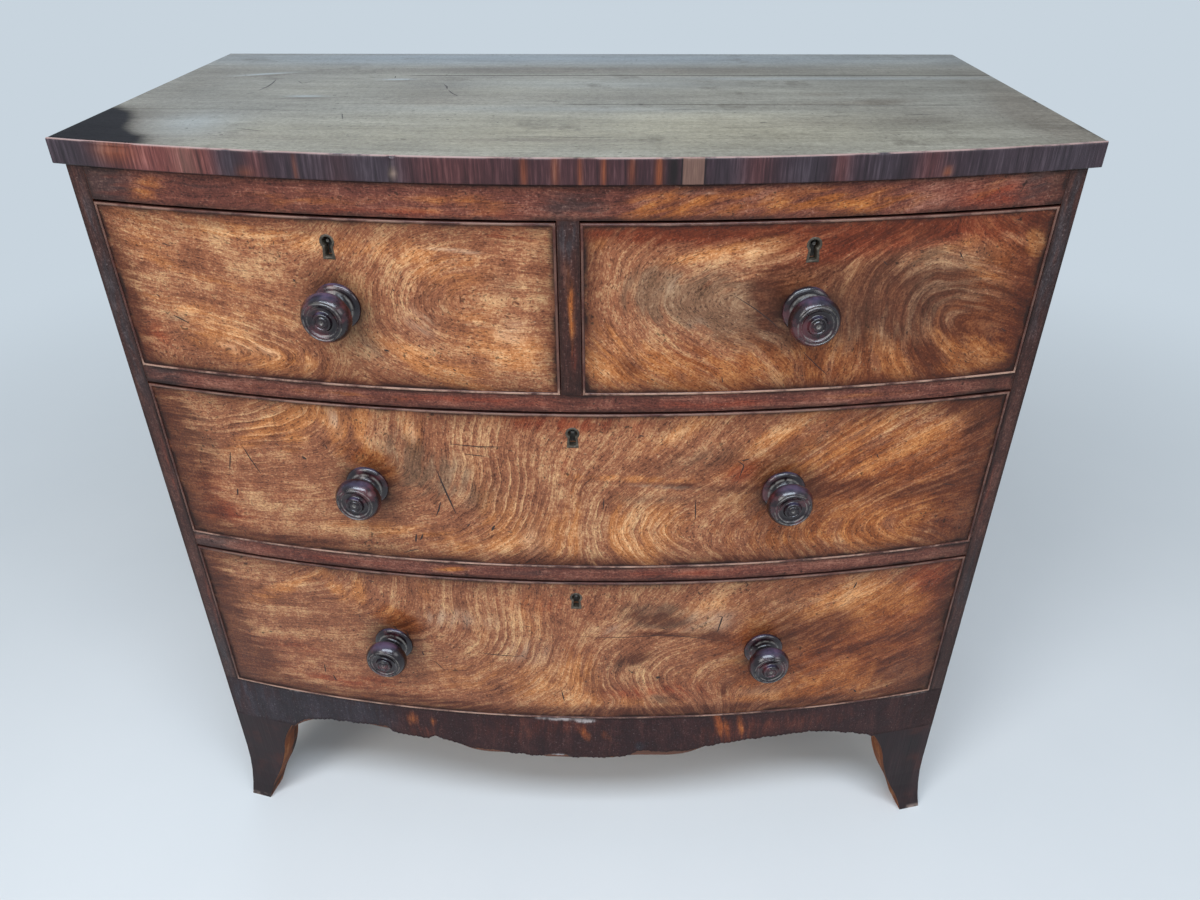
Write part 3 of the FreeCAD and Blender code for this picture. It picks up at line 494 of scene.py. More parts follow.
def veneer(name, seed, wood_tints, gold_tints, red_tints, smoke_tints, pale_tint, rough=0.36,
           edge_dirt=0.7, edge_darkness=0.0):
    """Figured mahogany. A tone from 0 to 1 is built from broad flames, growth lines with one sharp side, fine
    streaks and pores, all running along the level lines of the grain map; spots choose between tints."""
    wood = Finish(name)
    x, z = wood.axis("X") * 1000, wood.axis("Z") * 1000
    drift = wood.noise(wood.stretch((1, 1, 1), (seed, 0, seed)), 12.0, 2.0) - 0.5
    ripple = wood.noise(wood.stretch((1, 1, 1), (0, seed, 0)), 70.0, 2.0) - 0.5
    line = wood.map("grain") + drift * 16 + ripple * 1.6

    def flow(width, length, detail=2.0):
        """Noise that is narrow across the grain and long along it, in millimetres."""
        return wood.noise(wood.vector(line / width + seed, x / length, z / length), 1.0, detail)

    flames, strength = flow(24, 120), flow(45, 90)
    growth = (1 - (line / 9.0 + flow(34, 70) * 1.3).fract()) ** 1.7
    streak, hair = flow(2.4, 70, 3.0), flow(1.1, 10)
    pores = flow(1.0, 4, 1.0).between(0.57, 0.68)
    mottle = wood.noise(wood.place, 60.0, 4.0, 0.6)
    blotch = wood.noise(wood.place, 30.0, 5.0, 0.65)
    speck = wood.noise(wood.place, 420.0, 3.0, 0.7)
    lines_show = 0.07 + wood.map("rings") * strength.between(0.3, 0.6) * 0.65
    tone = (0.5 + (flames - 0.5) * 0.9 + (growth - 0.38) * lines_show + (streak - 0.5) * 0.5
            + (hair - 0.5) * 0.6 + (speck - 0.5) * 0.95 + (mottle - 0.5) * 0.5 + (blotch - 0.5) * 0.42)
    rough_edge = 0.35 + flow(7, 40).between(0.33, 0.67) * 0.9 + mottle * 0.4

    def spot(kind):
        """A kind of spot, its edge frayed along the grain, from 0 to 1."""
        return (wood.map(kind) * rough_edge).between(0.08, 0.85)

    body = wood.ramp(tone, *wood_tints)
    body = wood.blend(spot("red"), body, wood.ramp(tone, *red_tints))
    body = wood.blend(spot("gold"), body, wood.ramp(tone, *gold_tints))
    body = wood.blend(spot("smoke") * 0.9, body, wood.ramp(tone, *smoke_tints))
    body = wood.blend(spot("pale") * 0.8, body, colour(pale_tint))
    body = wood.blend(spot("amber") * 0.8, body,
                      wood.ramp(tone + spot("gold") * 0.17 - 0.05, "40190a", "8c471c", "cc8448"))
    body = wood.blend(pores * 0.65, body, colour("2c1510"))
    body = wood.blend(speck.between(0.6, 0.76) * 0.25, body, colour(pale_tint))
    edge = wood.map("edge")
    # Darker towards the leaf's edges, in blotches, fading out 30 mm in.
    if edge_darkness:
        darkened_edge = (edge / 30).between(1.0, 0.0) * (blotch * 1.6 - 0.15) * edge_darkness
        body = wood.blend(darkened_edge.clamp(), body, colour("3a170e"))
    rim_dirt = (edge / 6).between(1.0, 0.0) * blotch.between(0.32, 0.6) * edge_dirt
    # The grime spots round each knob's foot are painted contact shadow with dirt; the rest is dirt.
    grime = (wood.map("grime") * blotch.between(0.25, 0.7) * 0.9 + rim_dirt).clamp()
    # These spots darken broader browner places in the figure; those beside the knobs are painted shadow.
    body = wood.blend(spot("dark_tone_and_shadow") * (0.55 + blotch * 0.5) * (1 - spot("gold") * 0.6), body,
                      wood.ramp(tone, "240f08", "4a2012", "7c4226"))
    fleck = (wood.noise(wood.place, 210.0, 2.0).between(0.64, 0.70)
             * wood.noise(wood.place, 18.0, 2.0).between(0.46, 0.6))
    body = wood.blend(fleck * 0.75, body, colour("1e100a"))
    body = wood.blend(grime * 0.92, body, colour("1d110e"))
    waves = wood.noise(wood.place, 28.0, 2.0)
    height = streak * 0.15 + speck * 0.25 - pores * 0.12 - fleck * 0.3 + waves * 0.8
    return wood.set(Base_Color=body, Roughness=rough + (mottle - 0.5) * 0.2 + grime * 0.2 + fleck * 0.1,
                    Specular_IOR_Level=0.22, Normal=wood.bump(height, 0.0006))


RED = ("3c1610", "7c3826", "a65e44")
rail_finish = veneer(
    "rail_veneer", 3.1, wood_tints=("2a1414", "6a3b2f", "a06c58"), gold_tints=("5a2a12", "9c5a2c", "c88c52"),
    red_tints=RED, smoke_tints=("211614", "43302d", "6b524a"), pale_tint="b8a092", edge_dirt=0.9)
post_finish = veneer(
    "post_veneer", 8.7, wood_tints=("1e1010", "40251f", "6b463b"), gold_tints=("5a2a14", "9a5628", "c58a50"),
    red_tints=RED, smoke_tints=("1c1414", "383031", "5c5253"), pale_tint="a89a94", edge_dirt=0.8)

HAIR = 0.2  # how far a leaf stops short of the edges of the wood under it
BUTT = 0.3  # and of the next leaf
INNER, OUTER = extent("side_right")[:2]
CARCASE_HEAD = extent("side_right")[3] - HAIR
BASE_HEAD = extent("bottom_rail")[3] - BUTT


def on_rail(node):
    """Sides, foot and head of a leaf on the face of a rail, a hair inside it."""
    low, high = extent(node)[2:]
    return -INNER + BUTT, INNER - BUTT, low + HAIR, high - HAIR


frieze_leaf = leaf("frieze_veneer", *on_rail("frieze_rail"), strokes=[
    [(-467, 924), (-200, 926), (-60, 922)], [(-60, 932), (60, 930)], [(40, 910), (90, 925), (130, 940)],
    [(120, 908), (180, 924), (240, 938)], [(220, 908), (300, 925), (360, 938)],
    [(330, 910), (467, 926)]], spots=dict(
    gold=[(-405, 922, 28, 12, 20, 0.5), (-250, 920, 70, 12, 0, 0.35), (-100, 922, 60, 14, 0, 0.4),
          (90, 922, 50, 14, 10, 0.5), (190, 922, 90, 16, 0, 0.45), (280, 920, 50, 12, 0, 0.5),
          (395, 930, 20, 8, 30, 0.5)],
    pale=[(118, 933, 22, 1.6, 0, 0.8)],
    red=[(400, 922, 50, 14, 0, 0.6), (-150, 912, 120, 5, 0, 0.5)],
    smoke=[(-460, 924, 34, 40, 0, 1.0), (5, 920, 34, 18, 0, 0.7), (440, 924, 22, 30, 0, 0.6),
           (-350, 930, 40, 8, 0, 0.4)],
    # The long grime spot at height 941, along the frieze's head, is painted shadow under the top's front
    # edge.
    grime=[(470, 924, 26, 40, 0, 0.9), (-455, 938, 40, 5, 0, 0.7), (0, 941, 480, 2.5, 0, 0.7),
           (-10, 908, 40, 4, 0, 0.5)]))
upper_leaf = leaf("upper_rail_veneer", *on_rail("upper_rail"), strokes=[
    [(-467, 712), (0, 716), (467, 712)]], spots=dict(
    gold=[(-250, 715, 100, 5, 0, 0.35), (300, 715, 80, 5, 0, 0.3)],
    red=[(-100, 716, 100, 6, 0, 0.6), (150, 714, 90, 6, 0, 0.5)],
    smoke=[(-455, 715, 30, 20, 0, 0.9)],
    grime=[(0, 718, 26, 10, 0, 0.7), (460, 715, 34, 20, 0, 0.9)]))
lower_leaf = leaf("lower_rail_veneer", *on_rail("lower_rail"), strokes=[
    [(-467, 486), (0, 489), (467, 486)]], spots=dict(
    gold=[(-150, 489, 24, 5, 0, 0.8)],
    red=[(-300, 488, 100, 6, 0, 0.4), (140, 488, 120, 6, 0, 0.5)],
    smoke=[(-450, 488, 40, 20, 0, 0.9), (-40, 488, 60, 6, 0, 0.4)],
    grime=[(440, 488, 60, 20, 0, 0.8), (-129, 488, 1.5, 10, 12, 0.9)]))
left_leaf = leaf("left_post_veneer", -OUTER + HAIR, -INNER - HAIR, BASE_HEAD, CARCASE_HEAD, strokes=[
    [(-479, 226), (-477, 600), (-479, 941)]], spots=dict(
    pale=[(-488, 560, 1.6, 60, 0, 0.35)],
    red=[(-476, 600, 5, 60, 0, 0.35), (-474, 380, 4, 60, 0, 0.4)],
    smoke=[(-479, 800, 12, 140, 0, 0.7), (-482, 300, 10, 60, 0, 0.7)],
    grime=[(-470, 500, 3, 300, 0, 0.5)]))
right_leaf = leaf("right_post_veneer", INNER + HAIR, OUTER - HAIR, BASE_HEAD, CARCASE_HEAD, strokes=[
    [(479, 226), (481, 600), (479, 941)]], spots=dict(
    red=[(476, 560, 5, 60, 0, 0.3)],
    smoke=[(479, 860, 12, 100, 0, 0.8), (482, 420, 10, 90, 0, 0.6)],
    grime=[(470, 500, 4, 300, 0, 0.9), (480, 300, 10, 90, 0, 0.6)]))
left, right, low, high = extent("divider_post")
middle_leaf = leaf("divider_veneer", left + HAIR, right - HAIR, low + HAIR, high - HAIR, strokes=[
    [(-2, 725), (1, 800), (0, 907)]], spots=dict(
    gold=[(2, 812, 3, 34, 0, 0.9), (-3, 850, 2, 26, 0, 0.4)],
    red=[(4, 770, 4, 22, 0, 0.5)],
    smoke=[(0, 890, 12, 22, 0, 0.8)],
    grime=[(0, 740, 12, 16, 0, 0.7)]))
for made, finish in ((frieze_leaf, rail_finish), (upper_leaf, rail_finish), (lower_leaf, rail_finish),
                     (left_leaf, post_finish), (right_leaf, post_finish), (middle_leaf, post_finish)):
    made.data.materials.append(finish)
    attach(made, "carcase")

# Base: a shaped apron under the bottom rail and four splayed bracket feet, stained nearly black.
# One leaf covers rail, apron and the tops of the feet; its lower edge is chipped from years of kicks.
APRON_EDGE = (
    (-400, 172), (-388, 184), (-372, 192), (-340, 198.5), (-306, 199.5), (-262, 203), (-255, 193),
    (-230, 189), (-203, 188), (-194, 194), (-182, 189), (-160, 182), (-141, 176), (-118, 176.5), (-92, 172),
    (-52, 168.5), (-43, 172.5), (-16, 172), (-14, 168.3), (33, 168), (52, 170), (68, 172.5), (77, 181),
    (92, 182), (100, 178.6), (143, 178.8), (170, 186), (190, 189), (226, 194), (262, 196), (300, 198),
    (325, 196), (353, 189), (378, 181), (388, 178), (400, 172))


def apron_edge(x):
    """Height of the leaf's lower edge: straight between its measured corners, level past the ends."""
    corners = np.array(APRON_EDGE, float)
    ragged = 0.7 * np.sin(x * 0.9) + 0.6 * np.sin(x * 2.3 + 1) + 0.5 * np.sin(x * 0.31)
    return np.interp(x, corners[:, 0], corners[:, 1]) + ragged * (np.abs(x) < 392)


base_leaf = leaf("base_veneer", -OUTER + HAIR, OUTER - HAIR, apron_edge, BASE_HEAD, step=2.5, strokes=[
    [(-400, 170), (-398, 246)], [(-200, 180), (-203, 246)], [(0, 168), (4, 246)], [(190, 185), (178, 246)],
    [(215, 190), (208, 246)], [(400, 172), (398, 246)]], spots=dict(
    gold=[(-224, 224, 8, 14, 0, 0.8), (-195, 222, 6, 10, 0, 0.45), (8, 215, 7, 16, 20, 0.5),
          (35, 212, 6, 12, 30, 0.4), (183, 228, 6, 26, 14, 1.0), (196, 220, 3, 26, 12, 0.7),
          (214, 224, 5, 24, 10, 0.8)],
    pale=[(-25, 244, 26, 4, 0, 1.2), (10, 240, 12, 4, 0, 1.1), (-28, 172, 16, 2, 0, 0.8),
          (254, 246, 8, 2, 0, 0.9), (440, 243, 26, 2, 0, 0.7), (-388, 244, 12, 2, 0, 0.6)],
    red=[(-215, 200, 30, 16, 0, 0.5), (-90, 215, 60, 30, 0, 0.35), (-10, 235, 50, 18, 0, 0.55),
         (200, 205, 40, 26, 0, 0.7), (290, 220, 90, 20, 0, 0.4)],
    smoke=[(-400, 210, 110, 60, 0, 1.0), (-300, 225, 50, 30, 0, 0.7), (82, 190, 8, 8, 0, 1.2)],
    grime=[(470, 220, 50, 60, 0, 0.7), (0, 176, 80, 6, 0, 0.5)]))
base_leaf.data.materials.append(veneer(
    "base_veneer", 5.3, wood_tints=("12080a", "2c1415", "4c2c28"), gold_tints=("5a2610", "8c4620", "b8743c"),
    red_tints=("280f0c", "4e231a", "74402e"), smoke_tints=("151013", "2a252b", "443e46"),
    pale_tint="b4aaa8", rough=0.5))
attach(base_leaf, "carcase")

foot_wood = Finish("foot_mahogany")
side_sign = foot_wood.axis("X").between(-0.01, 0.01) * 2 - 1
sawn = (foot_wood.facing("X") * side_sign * -1).between(0.35, 0.6)
foot_lines = foot_wood.noise(foot_wood.stretch((60, 60, 4)), 1.0, 4.0, 0.6)
foot_fine = foot_wood.noise(foot_wood.stretch((420, 420, 14)), 1.0, 3.0, 0.6)
foot_cloud = foot_wood.noise(foot_wood.place, 16.0, 4.0, 0.6)
foot_tone = 0.45 + (foot_lines - 0.5) * 0.9 + (foot_fine - 0.5) * 0.5 + (foot_cloud - 0.5) * 0.9
foot_body = foot_wood.ramp(foot_tone, "0e0809", "241517", "402a2a")
foot_body = foot_wood.blend(foot_cloud.between(0.56, 0.7) * 0.6, foot_body, colour("40201a"))
foot_body = foot_wood.blend(sawn * foot_cloud.between(0.36, 0.52), foot_body,
                            foot_wood.ramp(foot_tone, "34180e", "7c4424", "c08a56"))
toe_wear = (foot_wood.axis("Z").between(0.009, 0.001)
            * foot_wood.noise(foot_wood.place, 60.0, 3.0).between(0.42, 0.6))
foot_body = foot_wood.blend(toe_wear * 0.75, foot_body, colour("a28c80"))
foot_finish = foot_wood.set(Base_Color=foot_body, Roughness=0.46 + (foot_cloud - 0.5) * 0.3 + sawn * 0.3,
                            Specular_IOR_Level=0.22,
                            Normal=foot_wood.bump(foot_fine * 0.5 + foot_lines * 0.5, 0.0006))
dress(foot_finish,
      "foot_front_left", "foot_front_right", "foot_back_left", "foot_back_right", "side_aprons")
dress(timber("apron_core", "x", "2a1712", "5a3626", "7c5238", 2.0, 0.7, 0.6), "apron")

# Top: mahogany boards glued edge to edge, dried and bleached grey by light, the arris rubbed round. The
# front edge carries a crossbanded veneer in short pieces, chipped in places and patched with filler.
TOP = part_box("top_board_front")[1].z - 0.0002
TOP_DEPTH = 0.024
TOP_HALF = 0.5
TOP_OVERHANG = 0.0055
ARRIS = 0.0014
BANDING = 0.003


def top_plan(s, t, inset):
    """Plan of the boards shrunk by inset: across from s -1 to 1, from the bowed front at t 0 to the back."""
    x = s * (TOP_HALF - inset)
    front = bow(x, TOP_OVERHANG - BANDING) + inset
    return x, front + (BACK - inset - front) * t


s, t = (grid.ravel() for grid in np.meshgrid(np.linspace(-1, 1, 201), np.linspace(0, 1, 110)))
border, cells = rim(110, 201), quads(110, 201)
x, y = top_plan(s, t, ARRIS)
points = [np.stack([x, y, 0 * x + TOP], axis=-1)]
loops = [border]
for turn in (30, 60, 90):
    a = math.radians(turn)
    x, y = top_plan(s[border], t[border], ARRIS * (1 - math.sin(a)))
    points.append(np.stack([x, y, 0 * x + TOP - ARRIS * (1 - math.cos(a))], axis=-1))
    loops.append(np.arange(len(border)) + sum(map(len, points[:-1])))
x, y = top_plan(s, t, 0.0)
under = sum(map(len, points))
points.append(np.stack([x, y, 0 * x + TOP - TOP_DEPTH], axis=-1))
loops.append(border + under)
points = np.concatenate(points)
faces = np.concatenate([cells, walls(np.array(loops)), cells[:, ::-1] + under])
top_boards = piece("top_boards", points, faces)
from_back = (points[:, 1] - BACK) * 1000
figure(top_boards, points[:, 0] * 1000, from_back, np.full_like(from_back, 50), step=8.0, strokes=[
    [(-500, -60), (0, -58), (500, -60)], [(-500, -158), (0, -160), (500, -154)],
    [(-500, -250), (0, -252), (500, -250)], [(-500, -350), (0, -352), (500, -352)],
    [(-500, -440), (-200, -446), (200, -448), (500, -440)],
    [(-400, -500), (0, -510), (400, -500)]], spots=dict(
    gold=[(0, -470, 420, 70, 0, 0.7), (150, -400, 300, 60, 0, 0.4), (-100, -250, 300, 60, 0, 0.25)],
    # The first three pale spots are dents: each a bump with a painted highlight along it.
    pale=[(-397, -153, 30, 4.0, 20, 1.2), (-224, -187, 18, 4.0, 4, 1.2), (-308, -287, 19, 4.0, 0, 1.2),
          (300, -176, 200, 9, 1, 0.5), (20, -215, 180, 26, 0, 0.25), (-380, -420, 40, 50, 20, 0.5),
          (0, -350, 200, 14, 0, 0.25)],
    smoke=[(-462, -410, 40, 70, 24, 0.9), (-420, -478, 50, 20, -16, 0.8), (484, -420, 44, 100, 0, 0.8),
           (480, -280, 30, 140, 0, 0.5), (0, -122, 480, 26, 0, 0.5), (-90, -120, 90, 30, 0, 0.4),
           (130, -130, 90, 26, 0, 0.3), (280, -316, 80, 14, 8, 0.4), (-150, -315, 60, 16, 0, 0.4),
           (370, -360, 60, 30, 0, 0.35), (-460, -200, 40, 120, 0, 0.3), (0, -486, 120, 7, 0, 0.3),
           (250, -410, 80, 20, 0, 0.3), (275, -270, 26, 10, 0, 0.5), (330, -312, 30, 16, 20, 0.6),
           (-40, -480, 60, 8, 0, 0.5), (-170, -250, 40, 60, 0, 0.35), (0, -290, 160, 20, 0, 0.3),
           (-320, -470, 90, 16, -10, 0.4), (470, -350, 30, 60, 0, 0.4), (350, -400, 40, 14, 0, 0.5),
           # The three spots on the next line are painted shadow beside those dents.
           (-392, -163, 30, 4.0, 20, 1.2), (-222, -196, 18, 4.0, 4, 1.0), (-306, -296, 19, 4.0, 0, 1.2)],
    # Painted reflection: a bluish band along the back edge stands in for the sky reflected there.
    painted_back_sheen=[(0, -34, 600, 52, 0, 1.1), (-300, -50, 160, 40, 0, 0.3)],
    grime=[(-512, -435, 54, 84, 22, 1.8), (-460, -476, 62, 26, -20, 1.5), (-485, -400, 26, 50, 22, 0.8),
           (499, -440, 8, 60, 0, 0.5), (499, -305, 5, 7, 0, 0.8)]))


def bleached(name):
    """Grey-brown wood: even tone, fine lines and short dark pores across the piece, open joints between the
    boards, brown dirt in patches, and one corner where the old black polish is left. A bluish band along the
    back is a painted reflection, and each dent is a bump with a painted highlight and a painted shadow."""
    wood = Finish(name)
    x, depth = wood.axis("X") * 1000, BACK * 1000 - wood.axis("Y") * 1000
    line = wood.map("grain") + (wood.noise(wood.place, 9.0, 2.0) - 0.5) * 12
    cloud = wood.noise(wood.place, 6.0, 5.0, 0.6)
    broad = wood.noise(wood.vector(line / 30, x / 260, 3.0), 1.0, 3.0)
    streak = wood.noise(wood.vector(line / 3.2, x / 90, 7.0), 1.0, 3.0, 0.6)
    hair = wood.noise(wood.vector(line / 1.2, x / 30, 1.0), 1.0, 2.0)
    pores = wood.noise(wood.vector(line / 1.0, x / 8, 5.0), 1.0, 1.0).between(0.60, 0.72)
    stains = wood.noise(wood.place, 16.0, 5.0, 0.7)
    speck = wood.noise(wood.place, 300.0, 3.0, 0.7)

    def joint(at, rise, left, right, width, fade=30):
        """A dark line along the boards, at a depth from the back edge, that fades out at both ends."""
        return (abs(depth - at + x * rise).between(width, 0)
                * x.between(left - fade, left) * x.between(right + fade, right))

    tone = (0.5 + (cloud - 0.5) * 0.8 + (broad - 0.5) * 0.7 + (streak - 0.5) * 0.7 + (hair - 0.5) * 0.5
            + (speck - 0.5) * 0.9)
    body = wood.ramp(tone, "5c564c", "7c786e", "a09c90")
    body = wood.blend((wood.map("gold") * (0.5 + cloud)).clamp(), body,
                      wood.ramp(tone, "665e4c", "8a826e", "aca48e"))
    body = wood.blend((wood.map("smoke") * (0.4 + streak + stains)).clamp() * 0.8, body,
                      wood.ramp(tone, "443c32", "645b50", "847b6e"))
    # The painted reflection along the back, blended to bluish grey.
    body = wood.blend((wood.map("painted_back_sheen") * (0.6 + broad * 0.5)).clamp() * 0.8, body,
                      wood.ramp(tone, "687078", "838b91", "9fa6aa"))
    body = wood.blend((wood.map("pale") * (0.5 + broad)).clamp() * 0.6, body, colour("a8b0b4"))
    body = wood.blend(pores * (depth.between(150, 480) * 0.35 + 0.15), body, colour("3a3228"))
    body = wood.blend(stains.between(0.56, 0.72) * 0.5, body, colour("4c4338"))
    joints = (joint(160, 0.012, -200, 500, 3.2) * 0.9 + joint(325.5, 0, 0, 400, 2.0) * 0.8
              + joint(326, 0, -230, 20, 2.0) * 0.3 + joint(354, 0, -500, -330, 1.8) * 0.6).clamp()
    body = wood.blend(joints, body, colour("2a221c"))
    worn = wood.map("grime") + (wood.noise(wood.place, 60.0, 5.0, 0.65) - 0.5) * 0.35
    dark = worn.between(0.22, 0.85)
    body = wood.blend(dark * 0.98, body, wood.ramp(tone, "06060a", "0e0c12", "1e191e"))
    body = wood.blend(wood.facing("Z").between(0.8, 0.5), body,
                      wood.ramp(tone, "1a0d0b", "3c2019", "623a2c"))
    fleck = (wood.noise(wood.place, 190.0, 2.0).between(0.67, 0.73)
             * wood.noise(wood.place, 14.0, 2.0).between(0.48, 0.6))
    body = wood.blend(fleck * 0.6, body, colour("2e2620"))
    height = (streak * 0.3 + hair * 0.2 - pores * 0.3 + stains * 0.6 - fleck * 0.4 - joints * 1.5
              + wood.map("pale").between(0.6, 1.2) * 0.8)
    return wood.set(Base_Color=body, Roughness=0.45 + (cloud - 0.5) * 0.25 + dark * 0.2,
                    Specular_IOR_Level=0.05, Normal=wood.bump(height, 0.0006))


top_boards.data.materials.append(bleached("bleached_mahogany"))
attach(top_boards, "carcase")
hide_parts("top_board_back", "top_board_front")

# The banding's section is a flat bar with a rubbed upper arris, carried along the front of the boards. A
# chip is a dip exp(-u to the fourth), with u in its half lengths: place, depth, half length, in millimetres.
BAND_CHIPS = ((-428, 3.4, 20), (-452, 1.2, 8), (-156, 3.0, 3.5), (-312, 1.0, 5), (-60, 0.6, 14),
              (103, 0.8, 4), (262, 0.8, 9), (420, 0.9, 16), (-250, 0.7, 20), (8, 0.5, 30))
BAND_SECTION = (
    (0, -24), (2.2, -24), (3, -23.2), (3, -20), (3, -16), (3, -12), (3, -8), (3, -5), (3, -3), (2.9, -1.5),
    (2.6, -0.6), (2.0, -0.1), (1.3, 0), (0, 0), (0, -8), (0, -16))
BAND_HEAD = 965  # the banding's upper edge, as high as its spots are measured
PATCH_MIDDLE = 112.5  # the piece that was lost and made up with filler, across
run = np.linspace(-TOP_HALF, TOP_HALF, 421)
section = np.array(BAND_SECTION, float)
across, height = section[:, :1], section[:, 1:]
outer = across > 1
chip = sum(deep * np.exp(-((run * 1000 - at) / half) ** 4) for at, deep, half in BAND_CHIPS)
out = np.minimum(across, BANDING * 1000 - np.where(height > -6, chip * 0.5, 0) * outer)
rise = height - chip * np.exp(-np.abs(height) / 2.5) * outer
depth = bow(run, TOP_OVERHANG - BANDING + out / 1000)
bar = np.stack([run + 0 * out, depth, TOP + rise / 1000], axis=-1)
ends = bar.mean(axis=0)[[0, -1]]
closed = [np.broadcast_to(end, (len(section), 1, 3)) for end in ends]
bar = np.concatenate([closed[0], bar, closed[1]], axis=1)
banding = piece("top_banding", bar.reshape(-1, 3), quads(*bar.shape[:2], over=True), weld=True)
welded = np.empty(len(banding.data.vertices) * 3, np.float32)
banding.data.vertices.foreach_get("co", welded)
bx, bz = welded[0::3].astype(float) * 1000, welded[2::3].astype(float) * 1000
figure(banding, bx, bz, np.maximum(BAND_HEAD - bz, 0), step=2.0, strokes=[
    [(at, 941), (at, BAND_HEAD)] for at in (-500, 0, 500)], spots=dict(
    gold=[(-430, 957, 22, 10, 0, 0.35), (-247, 950, 2, 14, 0, 0.6), (-300, 945, 10, 5, 0, 0.4),
          (-38, 953, 3, 20, 0, 0.3), (-10, 953, 3, 20, 0, 0.25), (12, 950, 2, 20, 0, 0.3),
          (33, 953, 2, 20, 0, 0.4), (58, 953, 3, 16, 0, 0.25), (82, 950, 3, 20, 0, 0.5),
          (345, 946, 4, 4, 0, 0.6)],
    pale=[(-355, 953, 13, 30, 0, 0.12), (-156, 949, 3, 4, 0, 0.5)],
    red=[(-395, 953, 40, 30, 0, 0.9), (-350, 953, 26, 30, 0, 1.3), (-285, 953, 10, 30, 0, 0.6),
         (-205, 950, 14, 30, 0, 0.4), (-110, 953, 50, 30, 0, 0.35), (10, 953, 70, 30, 0, 0.2),
         (170, 953, 14, 30, 0, 0.3), (244, 953, 8, 30, 0, 0.7), (328, 950, 14, 30, 0, 0.5)],
    smoke=[(-480, 953, 34, 30, 0, 0.9), (-312, 953, 14, 30, 0, 0.9), (-230, 953, 50, 30, 0, 0.7),
           (-170, 953, 26, 30, 0, 0.9), (140, 953, 18, 30, 0, 0.7), (215, 953, 26, 30, 0, 1.0),
           (285, 953, 26, 30, 0, 0.9), (390, 953, 50, 30, 0, 0.7), (470, 953, 40, 30, 0, 1.0)],
    grime=[(-340, 953, 0.9, 30, 0, 1.0), (95, 953, 5, 30, 0, 1.1)]))
band_wood = Finish("crossbanding")
bx, bz = band_wood.axis("X") * 1000, band_wood.axis("Z") * 1000
stripe = band_wood.noise(band_wood.vector(bx / 3.2, bz / 60, 2.0), 1.0, 4.0, 0.6)
fine = band_wood.noise(band_wood.vector(bx / 0.9, bz / 16, 5.0), 1.0, 2.0)
leafs = band_wood.noise(band_wood.vector(bx / 24, 1.0, 2.0), 1.0, 2.0)
band_tone = 0.45 + (stripe - 0.5) * 1.5 + (fine - 0.5) * 0.6 + (leafs - 0.5) * 0.9
band_body = band_wood.ramp(band_tone, "140b0e", "2f1d22", "553d42")


def band_spot(kind):
    """A kind of spot, ragged along the stripes, from 0 to 1."""
    return (band_wood.map(kind) * (0.5 + stripe)).clamp()


band_body = band_wood.blend(band_spot("red"), band_body,
                            band_wood.ramp(band_tone, "301413", "683833", "9a645c"))
band_body = band_wood.blend(band_spot("gold"), band_body,
                            band_wood.ramp(band_tone, "6e2c10", "a85828", "cf8e54"))
band_body = band_wood.blend(band_spot("smoke"), band_body,
                            band_wood.ramp(band_tone, "191417", "352b31", "564a50"))
band_body = band_wood.blend(band_spot("pale") * 0.8, band_body, colour("b49a86"))
from_patch = abs(bx - PATCH_MIDDLE)
filler = from_patch.between(10.0, 9.0)
band_body = band_wood.blend(filler, band_body,
                            band_wood.ramp(fine * 0.5 + stripe * 0.5, "3a2a24", "64493f", "866a58"))
patch_line = from_patch.between(9.0, 10.2) * from_patch.between(11.4, 10.6)
band_body = band_wood.blend((band_spot("grime") + patch_line * 0.8).clamp(), band_body, colour("150d0d"))
worn_arris = (band_wood.map("edge").between(1.3, 0.5)
              * band_wood.noise(band_wood.place, 26.0, 4.0, 0.7).between(0.3, 0.5))
band_body = band_wood.blend(worn_arris * 0.7, band_body, colour("b09088"))
banding.data.materials.append(band_wood.set(
    Base_Color=band_body, Roughness=0.38 + (leafs - 0.5) * 0.25 + filler * 0.25, Specular_IOR_Level=0.35,
    Normal=band_wood.bump(stripe * 0.5 + fine * 0.3, 0.0004)))
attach(banding, "carcase")
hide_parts("top_edge_banding")

# Drawer fronts: mahogany cores with sawn flame veneers. The two long fronts are veneered with leaves cut
# one after the other, so that their figure nearly repeats; the short ones match by eye.
DRAWERS = {drawer: extent(f"{drawer}_front") for drawer in
           ("short_drawer_left", "short_drawer_right", "middle_drawer", "bottom_drawer")}
BEAD_WIDTH = 3.0
TURN_OUT = 0.231 / BOW_RADIUS  # angle on the bow of the knobs and of the short drawers' keyholes
KEY_HEAD, KEY_SKIRT, KEY_FLARE, KEY_WAIST = 7.5, 17.5, 1.5, 5.0
KEY_RISE = {drawer: extent(f"{drawer}_escutcheon")[3] - KEY_HEAD for drawer in DRAWERS}
KEY_TURN = {"short_drawer_left": -TURN_OUT, "short_drawer_right": TURN_OUT, "middle_drawer": 0.0,
            "bottom_drawer": 0.0}


def key_outline(wall):
    """A keyhole thread's edge, wall millimetres in from its outside: the larger of a round head and of a
    skirt that widens downwards, as distance from the head's middle over the angle from straight down."""
    def reach(angle):
        """Millimetres from the head's middle to the edge."""
        down = np.maximum(np.cos(angle), 1e-6)
        lean = np.abs(np.sin(angle)) - KEY_FLARE / KEY_SKIRT * down
        skirt = np.minimum((KEY_SKIRT - wall) / down, (KEY_WAIST - wall) / np.maximum(lean, 1e-6))
        return np.maximum(KEY_HEAD - wall, np.where(np.cos(angle) > 0, skirt, 0))
    return reach


def ring(cx, cz, half_wide, half_high, start=180, end=-180):
    """A stroke round an oval, clockwise from start to end degrees, so that its grain steps outwards."""
    return [(cx + half_wide * math.cos(math.radians(a)), cz + half_high * math.sin(math.radians(a)))
            for a in np.linspace(start, end, 17)]


